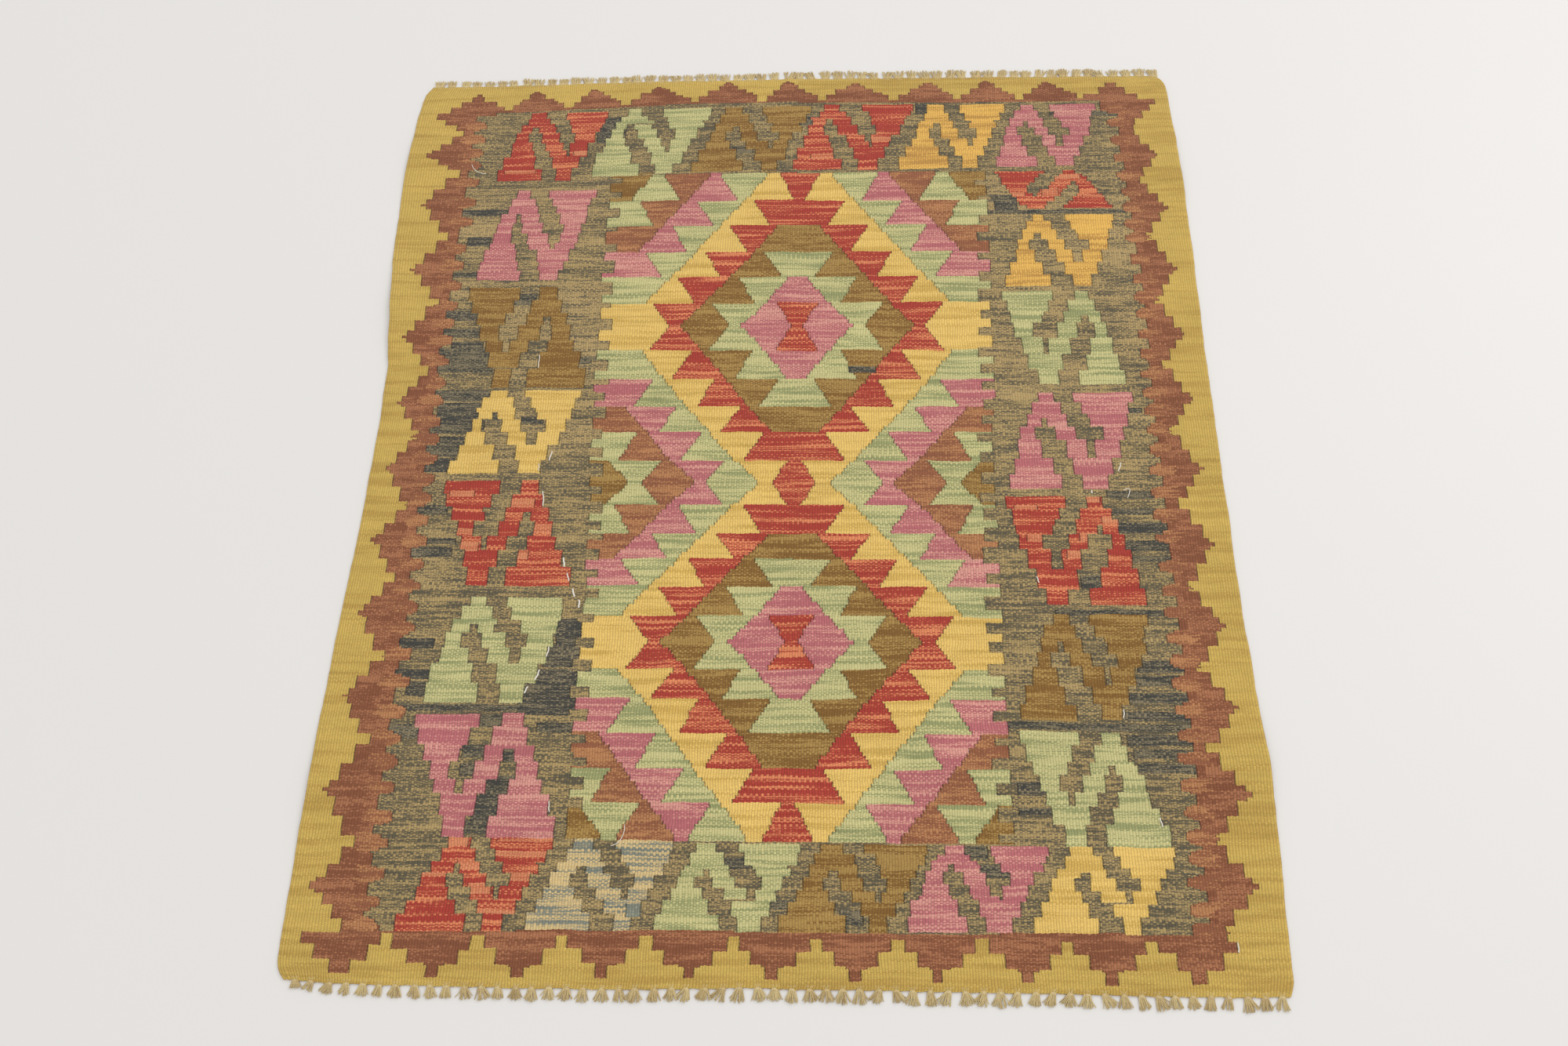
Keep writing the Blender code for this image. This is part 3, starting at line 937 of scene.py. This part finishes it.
def dye_faces(mesh, yarns):
    """Writes each face's two shades, its way of mixing them, its block and its slits."""
    cells = np.zeros(len(mesh.polygons), dtype=np.int32)
    mesh.attributes["cell"].data.foreach_get("value", cells)
    yarn, rest = cells // YARN_CODE, cells % YARN_CODE
    block, slit = rest // 4, rest % 4
    shades = {"yarn": [], "yarn_second": [], "laid_in": []}
    beaded = []
    for name in YARNS:
        shades["yarn"].append((*getattr(yarns, name), 1.0))
        shades["yarn_second"].append((*getattr(yarns, name + "_second"), 1.0))
        share, tall, mixing, streak, beads = SHADING[name]
        shades["laid_in"].append((threshold_for(share), 1.0 / tall, mixing, 1.0 / streak))
        beaded.append(beads)
    for name, rows in shades.items():
        made = mesh.attributes.new(name, "FLOAT_COLOR", "FACE")
        made.data.foreach_set("color", np.array(rows, dtype=np.float32)[yarn].ravel())
    numbers = {"block": (block * BLOCK_SPREAD) % 1.0, "slit": slit, "beaded": np.array(beaded)[yarn]}
    for name, values in numbers.items():
        made = mesh.attributes.new(name, "FLOAT", "FACE")
        made.data.foreach_set("value", np.asarray(values, dtype=np.float32))
    mesh.attributes.remove(mesh.attributes["cell"])


# --- Materials --------------------------------------------------------------------------------
def add(tree, kind, inputs=(), output=0, **settings):
    """Adds a node with its settings and what its inputs hold or come from. Gives one output."""
    node = tree.nodes.new("ShaderNode" + kind)
    for name, value in settings.items():
        setattr(node, name, value)
    for name, value in inputs.items() if isinstance(inputs, dict) else enumerate(inputs):
        if isinstance(value, bpy.types.NodeSocket):
            tree.links.new(value, node.inputs[name])
        else:
            node.inputs[name].default_value = value
    return node.outputs[output]


def start_material(name):
    """A new material with its tree and its Principled shader."""
    made = bpy.data.materials.new(name)
    made.use_nodes = True
    return made, made.node_tree, made.node_tree.nodes["Principled BSDF"]


def slit_woven_wool(sizes, yarns):
    """Slit-woven hand-spun wool: matt, ribbed by its warps, each weft showing as a bead on every second
    rib. The dye baths change from weft to weft, so dotted stripes run along the wefts and end at the
    edge of each block of colour. The field's marled yarn turns salt and pepper. Painted highlights on
    the beads' tops, painted shade in the grooves and a painted shadow in each slit are multiplied into
    its colour."""
    made, tree, shader = start_material("slit_woven_wool")
    uv = add(tree, "UVMap", uv_map="woven")
    place = add(tree, "VectorMath", {0: uv, "Scale": 1.0 / MM}, operation="SCALE")
    along, level, _ = add(tree, "SeparateXYZ", (place,)).node.outputs
    yarn = add(tree, "Attribute", attribute_name="yarn")
    yarn_second = add(tree, "Attribute", attribute_name="yarn_second")
    laid_in = add(tree, "Attribute", attribute_name="laid_in").node.outputs
    threshold, band_often, mixing = add(tree, "SeparateXYZ", (laid_in["Vector"],)).node.outputs
    streak_often = laid_in["Alpha"]
    beaded = add(tree, "Attribute", output="Fac", attribute_name="beaded")
    block = add(tree, "Attribute", output="Fac", attribute_name="block")
    slits = add(tree, "Attribute", output="Fac", attribute_name="slit")

    # One rib for each warp, one bead for each weft that crosses it, staggered from rib to rib.
    # The ribs sway by a fraction of a millimetre.
    sway = add(tree, "TexNoise", {"Vector": place, "Scale": 0.05, "Detail": 2.0})
    sway = add(tree, "Math", (sway, 0.5), operation="SUBTRACT")
    swayed = add(tree, "Math", (sway, SWAY_MM, along), operation="MULTIPLY_ADD")
    ribs = add(tree, "Math", (swayed, WARP_MM), operation="DIVIDE")
    rib = add(tree, "Math", (ribs,), operation="FLOOR")
    in_rib = add(tree, "Math", (ribs,), operation="FRACT")
    odd = add(tree, "Math", (rib, 2.0), operation="MODULO")
    stagger = add(tree, "Math", (odd, 0.5), operation="MULTIPLY")
    beads = add(tree, "Math", (level, 1.0 / sizes.pick_mm, stagger), operation="MULTIPLY_ADD")
    bead = add(tree, "Math", (beads,), operation="FLOOR")
    in_bead = add(tree, "Math", (beads,), operation="FRACT")
    weft = add(tree, "Math", (bead, 2.0, odd), operation="MULTIPLY_ADD")
    rib_turn = add(tree, "Math", (in_rib, math.pi), operation="MULTIPLY")
    rib_round = add(tree, "Math", (rib_turn,), operation="SINE")
    bead_turn = add(tree, "Math", (in_bead, math.pi), operation="MULTIPLY")
    bead_round = add(tree, "Math", (bead_turn,), operation="SINE")
    # Painted light and shade: each bead is lighter on its top and darker towards the grooves between
    # ribs and between beads.
    painted_bead_light_and_shade = add(tree, "Math", (rib_round, bead_round), operation="MULTIPLY")
    painted_bead_light_and_shade = add(tree, "Math", (painted_bead_light_and_shade, 0.6), operation="POWER")

    # Bands of the second dye bath, streaks along single wefts, and beads that differ by
    # themselves. All three are read once for each weft, so stripes break into beads.
    bath = add(tree, "Math", (block, 977.0), operation="MULTIPLY")
    weft_mm = add(tree, "Math", (weft, sizes.pick_mm / 2.0), operation="MULTIPLY")
    band_x = add(tree, "Math", (along, BAND_DRIFT, bath), operation="MULTIPLY_ADD")
    band_y = add(tree, "Math", (weft_mm, band_often), operation="MULTIPLY")
    band_at = add(tree, "CombineXYZ", (band_x, band_y, bath))
    band = add(tree, "TexNoise", {"Vector": band_at, "Scale": 1.0, "Detail": 2.0, "Roughness": 0.6})
    ply_x = add(tree, "Math", (along, streak_often), operation="MULTIPLY")
    ply_often = add(tree, "Math", (beaded, 0.2, 0.42), operation="MULTIPLY_ADD")
    ply_y = add(tree, "Math", (weft, ply_often), operation="MULTIPLY")
    ply_at = add(tree, "CombineXYZ", (ply_x, ply_y, bath))
    ply = add(tree, "TexNoise", {"Vector": ply_at, "Scale": 1.0, "Detail": 1.0, "Roughness": 0.5})
    bead_at = add(tree, "CombineXYZ", (rib, bead))
    grain = add(tree, "TexWhiteNoise", {"Vector": bead_at}, noise_dimensions="2D")
    patches = add(tree, "TexNoise", {"Vector": place, "Scale": 0.016, "Detail": 3.0, "Roughness": 0.6})
    lively = add(tree, "Math", (ply, 0.5), operation="SUBTRACT")
    lively = add(tree, "Math", (lively, mixing), operation="MULTIPLY")
    banded = add(tree, "Math", (lively, 2.6, band), operation="MULTIPLY_ADD")
    single = add(tree, "Math", (grain, 0.5), operation="SUBTRACT")
    drift = add(tree, "Math", (patches, 0.5), operation="SUBTRACT")
    single = add(tree, "Math", (drift, 1.2, single), operation="MULTIPLY_ADD")
    batch = add(tree, "Math", (block, 0.5), operation="SUBTRACT")
    single = add(tree, "Math", (batch, 0.5, single), operation="MULTIPLY_ADD")
    mixed = add(tree, "Math", (single, beaded, banded), operation="MULTIPLY_ADD")
    over = add(tree, "Math", (mixed, threshold), operation="SUBTRACT")
    soft = add(tree, "Math", (beaded, 0.52, 0.06), operation="MULTIPLY_ADD")
    hard = add(tree, "Math", (soft, -1.0), operation="MULTIPLY")
    share = add(tree, "MapRange", {0: over, 1: hard, 2: soft}, interpolation_type="SMOOTHSTEP")
    woven = add(tree, "Mix", {0: share, 6: yarn, 7: yarn_second}, output=2, data_type="RGBA")
    greener = add(tree, "Math", (block, beaded), operation="MULTIPLY")
    greener = add(tree, "Math", (greener, beaded), operation="MULTIPLY")
    greened = {0: greener, 6: woven, 7: (*yarns.marl_third, 1.0)}
    woven = add(tree, "Mix", greened, output=2, data_type="RGBA", blend_type="MULTIPLY")

    # Each bead's own shade, worn patches and uneven dye along each weft, then painted light and shade:
    # a painted highlight on each bead's top, painted shade in the grooves between ribs and beads, and a
    # painted shadow in the slits.
    worn = add(tree, "TexNoise", {"Vector": place, "Scale": 0.012, "Detail": 3.0, "Roughness": 0.55})
    uneven_y = add(tree, "Math", (weft_mm, 0.3), operation="MULTIPLY")
    uneven_at = add(tree, "CombineXYZ", (band_x, uneven_y, 4.0))
    uneven = add(tree, "TexNoise", {"Vector": uneven_at, "Scale": 1.0, "Detail": 3.0, "Roughness": 0.7})
    # Painted shadow in the slits: the edge of a rib beside a slit is darkened to half its colour. The
    # same mask also sinks the slit in the bump below.
    right = add(tree, "MapRange", {0: in_rib, 1: 0.66, 2: 0.96}, interpolation_type="SMOOTHSTEP")
    left = add(tree, "MapRange", {0: in_rib, 1: 0.34, 2: 0.04}, interpolation_type="SMOOTHSTEP")
    on_right = add(tree, "Math", (slits, 2.0), operation="MODULO")
    on_left = add(tree, "Math", (slits, 1.5), operation="GREATER_THAN")
    right = add(tree, "Math", (right, on_right), operation="MULTIPLY")
    left = add(tree, "Math", (left, on_left), operation="MULTIPLY")
    slit = add(tree, "Math", (right, left), operation="MAXIMUM")
    tone = add(tree, "Math", (grain, 0.14, 0.93), operation="MULTIPLY_ADD")
    for shape, lightest, darkest in (
        (worn, 1.12, 0.88), (uneven, 1.16, 0.84), (painted_bead_light_and_shade, 1.10, 0.74), (slit, 0.50, 1.0),
    ):
        shade = add(tree, "Math", (shape, lightest - darkest, darkest), operation="MULTIPLY_ADD")
        tone = add(tree, "Math", (tone, shade), operation="MULTIPLY")
    toned = add(tree, "VectorMath", {0: woven, "Scale": tone}, operation="SCALE")
    tree.links.new(toned, shader.inputs["Base Color"])

    # Relief in millimetres, which the bump's distance turns to metres.
    rib_high = add(tree, "Math", (rib_round, 0.7), operation="POWER")
    high = add(tree, "Math", (rib_high, sizes.rib_relief / MM), operation="MULTIPLY")
    for shape, amount in (
        (bead_round, sizes.pick_relief / MM), (grain, 0.05), (slit, -sizes.slit_depth / MM),
    ):
        high = add(tree, "Math", (shape, amount, high), operation="MULTIPLY_ADD")
    bump = add(tree, "Bump", {"Height": high, "Strength": 1.0, "Distance": MM})
    tree.links.new(bump, shader.inputs["Normal"])
    shader.inputs["Roughness"].default_value = 0.92
    shader.inputs["Specular IOR Level"].default_value = 0.18
    shader.inputs["Sheen Weight"].default_value = 0.12
    shader.inputs["Sheen Roughness"].default_value = 0.5
    return made


def plied_yarn(name, light, dark):
    """Plied yarn: dusty and matt, with its twist and darker plies showing, and painted shade in the
    grooves between its plies.
    """
    made, tree, shader = start_material(name)
    uv = add(tree, "UVMap", uv_map="strand")
    place = add(tree, "VectorMath", {0: uv, "Scale": 1.0 / MM}, operation="SCALE")
    around, along, _ = add(tree, "SeparateXYZ", (place,)).node.outputs
    shade = add(tree, "Attribute", output="Fac", attribute_name="shade")
    # Plies turn about the strand once in four millimetres.
    turn = add(tree, "Math", (along, 0.25, around), operation="MULTIPLY_ADD")
    turn = add(tree, "Math", (turn, 2.0 * math.pi), operation="MULTIPLY")
    wave = add(tree, "Math", (turn,), operation="SINE")
    plies = add(tree, "Math", (wave,), operation="ABSOLUTE")
    fluff = add(tree, "TexNoise", {"Vector": place, "Scale": 1.1, "Detail": 3.0})
    mixed = add(tree, "Math", (fluff, 0.6, shade), operation="MULTIPLY_ADD")
    mixed = add(tree, "Math", (mixed, 0.3), operation="SUBTRACT", use_clamp=True)
    dyed = {0: mixed, 6: (*light, 1.0), 7: (*dark, 1.0)}
    coloured = add(tree, "Mix", dyed, output=2, data_type="RGBA")
    # Painted shade: the yarn is darker in the grooves between its plies and a little lighter on their
    # crowns.
    tone = add(tree, "Math", (plies, 0.16, 0.86), operation="MULTIPLY_ADD")
    toned = add(tree, "VectorMath", {0: coloured, "Scale": tone}, operation="SCALE")
    tree.links.new(toned, shader.inputs["Base Color"])
    bump = add(tree, "Bump", {"Height": plies, "Strength": 1.0, "Distance": 0.15 * MM})
    tree.links.new(bump, shader.inputs["Normal"])
    shader.inputs["Roughness"].default_value = 0.9
    shader.inputs["Specular IOR Level"].default_value = 0.2
    return made


def painted_floor(colour):
    """A painted floor: pale, even, a little glossy."""
    made, tree, shader = start_material("painted_floor")
    place = add(tree, "TexCoord", output="Object")
    cloud = add(tree, "TexNoise", {"Vector": place, "Scale": 2.2, "Detail": 3.0})
    gloss = add(tree, "Math", (cloud, 0.16, 0.34), operation="MULTIPLY_ADD")
    tree.links.new(gloss, shader.inputs["Roughness"])
    shader.inputs["Base Color"].default_value = (*colour, 1.0)
    shader.inputs["Specular IOR Level"].default_value = 0.35
    return made


# --- Yarns that lie free ----------------------------------------------------------------------
def yarn_pattern(sides, steps):
    """A straight yarn one unit long on +Y, one unit thick, closed at both ends."""
    bm = bmesh.new()
    bmesh.ops.create_circle(bm, cap_ends=True, segments=sides, radius=0.5)
    tip = list(bm.faces)
    for _ in range(steps):
        grown = bmesh.ops.extrude_face_region(bm, geom=tip)
        moved = [item for item in grown["geom"] if isinstance(item, bmesh.types.BMVert)]
        bmesh.ops.translate(bm, verts=moved, vec=(0.0, 0.0, 1.0 / steps))
        tip = [item for item in grown["geom"] if isinstance(item, bmesh.types.BMFace)]
    bmesh.ops.rotate(bm, verts=bm.verts, matrix=Matrix.Rotation(-math.pi / 2.0, 3, "X"))
    bmesh.ops.recalc_face_normals(bm, faces=bm.faces)
    mesh = bpy.data.meshes.new("yarn_pattern")
    bm.to_mesh(mesh)
    bm.free()
    return mesh


class LooseYarns:
    """A mesh of yarns that lie on the cloth or the floor."""

    def __init__(self, sides, steps):
        self.sides = sides
        self.pattern = yarn_pattern(sides, steps)
        self.bm = bmesh.new()
        self.uv = self.bm.loops.layers.uv.new("strand")
        self.shade = self.bm.faces.layers.float.new("shade")

    def lay(self, route, thick, shade):
        """Lays one yarn. The route gives x, y, height of its middle and its slimness."""
        start = len(self.bm.verts)
        self.bm.from_mesh(self.pattern)
        self.bm.verts.ensure_lookup_table()
        for vert in self.bm.verts[start:]:
            share, side, up = vert.co.y, vert.co.x, vert.co.z
            x, y, high, slim = route(share)
            ahead, behind = route(min(share + 0.02, 1.0)), route(max(share - 0.02, 0.0))
            way = Vector((ahead[0] - behind[0], ahead[1] - behind[1])).normalized()
            x += way.y * side * thick * slim
            y -= way.x * side * thick * slim
            high = max(high + up * thick * slim, LOWEST)
            vert.co = ((x - CENTRE_X) * MM, (y - CENTRE_Y) * MM, high * MM)
        for face in {face for vert in self.bm.verts[start:] for face in vert.link_faces}:
            face[self.shade] = shade
            for loop in face.loops:
                around = (loop.vert.index % self.sides) / self.sides
                loop[self.uv].uv = (around * MM, loop.vert.co.y)

    def tie(self, x, y, size, shade, turn):
        """Ties a small hard knot. Its size is across, along and up."""
        made = bmesh.ops.create_icosphere(self.bm, subdivisions=2, radius=1.0)
        for vert in made["verts"]:
            side, away, up = vert.co
            squeeze = 1.0 + 0.12 * math.sin(6.0 * math.atan2(up, side) + 4.0 * away)
            high = max(size[2] * (1.0 + up * squeeze) + LOWEST, LOWEST)
            vert.co = (
                (x + size[0] * side * squeeze + turn * away - CENTRE_X) * MM,
                (y + size[1] * away - CENTRE_Y) * MM, high * MM,
            )
        for face in {face for vert in made["verts"] for face in vert.link_faces}:
            face[self.shade] = shade
            for loop in face.loops:
                loop[self.uv].uv = (loop.vert.co.x * 0.4, loop.vert.co.y)

    def finish(self, context, name, material):
        """Makes the object and rides it on the rug."""
        bpy.data.meshes.remove(self.pattern)
        mesh = bpy.data.meshes.new(name)
        self.bm.to_mesh(mesh)
        self.bm.free()
        mesh.shade_smooth()
        mesh.materials.append(material)
        made = bpy.data.objects.new(name, mesh)
        context.collection.objects.link(made)
        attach(made, "root")
        return made


def draw_together(yarns, middle, edge, stands, out, thick, chance):
    """Lays the thin warp ends that run over the cloth's edge from both sides into a knot."""
    for side in (-1.0, -0.4, 0.5, 1.0):
        across = side * chance.uniform(*DRAWN_ACROSS)

        def route(share):
            inside = DRAWN_ALONG * share * (1.15 - 0.15 * abs(side))
            high = stands + read(END_THIN, inside - 1.0) + 0.15 - 0.5 * share**4
            return middle + across * share, edge - out * inside, high, 0.62 - 0.2 * share

        yarns.lay(route, thick, chance.uniform(0.0, 0.3))


def tie_fringe(context, name, node, level, span, out, lengths, fans, neck, seed):
    """Ties the tassels along one end of the cloth. Each is a knot and a fan of strands."""
    sizes = context.scene.rug_sizes
    chance = random.Random(seed)
    yarns = LooseYarns(STRAND_SIDES, STRAND_STEPS)
    pitch = (span[1] - span[0]) / TASSELS
    for number in range(TASSELS):
        middle = span[0] + pitch * (number + 0.5) + chance.uniform(-1.4, 1.4)
        across = middle - side_shift(middle, level)
        _, edge, stands = lie(across, level, sizes.wander)
        long = read(lengths, middle) + chance.uniform(-1.4, 1.2)
        lean, fan = chance.gauss(-0.04, 0.20), chance.uniform(*fans)
        dusty = chance.uniform(0.1, 0.5)
        yarns.tie(middle, edge + out * 0.6, KNOT_HALF, dusty + 0.15, chance.uniform(-0.4, 0.4))
        draw_together(yarns, middle, edge, stands, out, sizes.strand / MM, chance)
        for strand in range(sizes.strands):
            part = (strand + chance.uniform(0.2, 0.8)) / sizes.strands * 2.0 - 1.0
            angle = lean + part * fan + chance.gauss(0.0, 0.05)
            reach = long * (1.0 - 0.10 * part * part) + chance.uniform(-1.6, 0.6)
            curl, lift = chance.gauss(0.0, 0.12), chance.uniform(0.0, 1.5)
            root = middle + part * neck
            thick = sizes.strand / MM

            def route(share):
                turn = angle + curl * share
                high = thick / 2.0 + lift * (0.5 + 0.5 * share) + stands * (1.0 - share)
                slim = 1.0 - 0.2 * share
                gone = reach * share
                return (
                    root + math.sin(turn) * gone, edge + out * (math.cos(turn) * gone - 1.0),
                    high + 0.8 * max(1.0 - 2.5 * share, 0.0), slim,
                )

            yarns.lay(route, thick, min(max(dusty + chance.gauss(0.0, 0.22), 0.0), 1.0))
    settings = context.scene.rug_yarns
    made = yarns.finish(context, name, bpy.data.materials.get("undyed_warp_yarn")
                        or plied_yarn("undyed_warp_yarn", settings.warp, settings.warp_second))
    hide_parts(node)


# --- Operators --------------------------------------------------------------------------------
class RUG_OT_cloth(bpy.types.Operator):
    """Weave the cloth and lay it on the floor"""

    bl_idname = "rug.cloth"
    bl_label = "Weave cloth"

    def execute(self, context):
        sizes = context.scene.rug_sizes
        mesh = cloth_mesh(weave_pattern(), sizes.wander)
        dye_faces(mesh, context.scene.rug_yarns)
        made = bpy.data.objects.new("kilim_cloth", mesh)
        context.collection.objects.link(made)
        mesh.materials.append(slit_woven_wool(sizes, context.scene.rug_yarns))
        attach(made, "root")
        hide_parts("cloth")
        return {"FINISHED"}


class RUG_OT_near_fringe(bpy.types.Operator):
    """Tie the tassels of the end towards the viewer"""

    bl_idname = "rug.near_fringe"
    bl_label = "Tie near fringe"

    def execute(self, context):
        tie_fringe(
            context, "tassels_near", "fringe_near", LOOM_NEAR, NEAR_SPAN, -1.0, NEAR_LENGTH,
            NEAR_FAN, NEAR_NECK, 41,
        )
        return {"FINISHED"}


class RUG_OT_far_fringe(bpy.types.Operator):
    """Tie the tassels of the end away from the viewer"""

    bl_idname = "rug.far_fringe"
    bl_label = "Tie far fringe"

    def execute(self, context):
        far = LOOM_NEAR + STEPS * STEP_MM
        tie_fringe(
            context, "tassels_far", "fringe_far", far, FAR_SPAN, 1.0, FAR_LENGTH,
            FAR_FAN, FAR_NECK, 57,
        )
        return {"FINISHED"}


class RUG_OT_mends(bpy.types.Operator):
    """Sew the mending stitches that close slits, and leave a few loose ends"""

    bl_idname = "rug.mends"
    bl_label = "Sew mends"

    def execute(self, context):
        sizes = context.scene.rug_sizes
        chance = random.Random(23)
        yarns = LooseYarns(MEND_SIDES, MEND_STEPS)
        for start, bend, end, share_thick in MENDS:
            start, bend, end = (Vector(point) for point in (start, bend, end))
            waves = chance.uniform(0.0, 6.0)

            def route(share):
                back = 1.0 - share
                x, y = start * back**2 + bend * (2.0 * share * back) + end * share**2
                x += 0.25 * math.sin(9.0 * share + waves)
                _, _, low = lie(x, y, 0.0)
                dips = min(8.0 * share, 8.0 * back, 1.0)
                return x, y, low + CLOTH_MM - 0.3 + 0.5 * dips, share_thick

            yarns.lay(route, sizes.mend / MM, chance.uniform(0.0, 0.4))
        settings = context.scene.rug_yarns
        yarns.finish(
            context, "mending_threads",
            plied_yarn("mending_cotton", settings.mend, settings.mend_second),
        )
        return {"FINISHED"}


class RUG_OT_stage(bpy.types.Operator):
    """Lay the floor, set the lights and the camera"""

    bl_idname = "rug.stage"
    bl_label = "Set stage"

    def execute(self, context):
        stage = context.scene.rug_stage
        bm = bmesh.new()
        bmesh.ops.create_grid(bm, x_segments=1, y_segments=1, size=stage.floor_side / 2.0)
        bmesh.ops.translate(bm, vec=(0.0, 0.0, -FLOOR_UNDER * MM), verts=bm.verts)
        mesh = bpy.data.meshes.new("floor")
        bm.to_mesh(mesh)
        bm.free()
        mesh.materials.append(painted_floor(stage.floor))
        floor = bpy.data.objects.new("floor", mesh)
        context.collection.objects.link(floor)
        light_room(context, stage)
        aim_camera(context)
        return {"FINISHED"}


def light_room(context, stage):
    """Even light from all round, and one large soft light from the far right."""
    world = bpy.data.worlds.new("studio")
    world.use_nodes = True
    world.node_tree.nodes["Background"].inputs["Color"].default_value = (1.0, 1.0, 1.0, 1.0)
    world.node_tree.nodes["Background"].inputs["Strength"].default_value = stage.world
    context.scene.world = world
    data = bpy.data.lights.new("window", "AREA")
    data.shape = "RECTANGLE"
    data.size = 4.0
    data.size_y = 3.0
    data.energy = stage.key
    lamp = bpy.data.objects.new("window", data)
    lamp.location = (3.8, 2.4, 3.8)
    lamp.rotation_euler = (-lamp.location).to_track_quat("-Z", "Y").to_euler()
    context.collection.objects.link(lamp)


def aim_camera(context):
    """The camera at the photo's place and turn."""
    data = bpy.data.cameras.new("camera")
    data.lens = CAMERA_LENS
    data.sensor_width = 36.0
    camera = bpy.data.objects.new("camera", data)
    camera.location = (
        (CAMERA_AT[0] - CENTRE_X) * MM, (CAMERA_AT[1] - CENTRE_Y) * MM, CAMERA_AT[2] * MM
    )
    camera.rotation_euler = [math.radians(turn) for turn in CAMERA_TURN]
    context.collection.objects.link(camera)
    context.scene.camera = camera
    context.scene.view_settings.view_transform = "Standard"


class RUG_PT_panel(bpy.types.Panel):
    """Lists the rug's steps, sizes and colours"""

    bl_idname = "RUG_PT_panel"
    bl_label = "Kilim rug"
    bl_space_type = "VIEW_3D"
    bl_region_type = "UI"
    bl_category = "Rug"

    def draw(self, context):
        for step in STEPS_IN_ORDER:
            self.layout.operator(step.bl_idname)
        for group in (context.scene.rug_sizes, context.scene.rug_yarns, context.scene.rug_stage):
            box = self.layout.box()
            for name in group.bl_rna.properties.keys():
                if name not in ("name", "rna_type"):
                    box.prop(group, name)


STEPS_IN_ORDER = (RUG_OT_cloth, RUG_OT_near_fringe, RUG_OT_far_fringe, RUG_OT_mends, RUG_OT_stage)
GROUPS = (("rug_yarns", RugYarns), ("rug_sizes", RugSizes), ("rug_stage", RugStage))


def register():
    """Registers the groups, operators and panel."""
    for name, group in GROUPS:
        bpy.utils.register_class(group)
        setattr(bpy.types.Scene, name, PointerProperty(type=group))
    for step in STEPS_IN_ORDER + (RUG_PT_panel,):
        bpy.utils.register_class(step)


def unregister():
    """Undoes register."""
    for step in (RUG_PT_panel,) + STEPS_IN_ORDER[::-1]:
        bpy.utils.unregister_class(step)
    for name, group in GROUPS[::-1]:
        delattr(bpy.types.Scene, name)
        bpy.utils.unregister_class(group)


def main():
    """Builds every piece."""
    register()
    bpy.ops.rug.cloth()
    bpy.ops.rug.near_fringe()
    bpy.ops.rug.far_fringe()
    bpy.ops.rug.mends()
    bpy.ops.rug.stage()


if __name__ == "__main__":
    main()
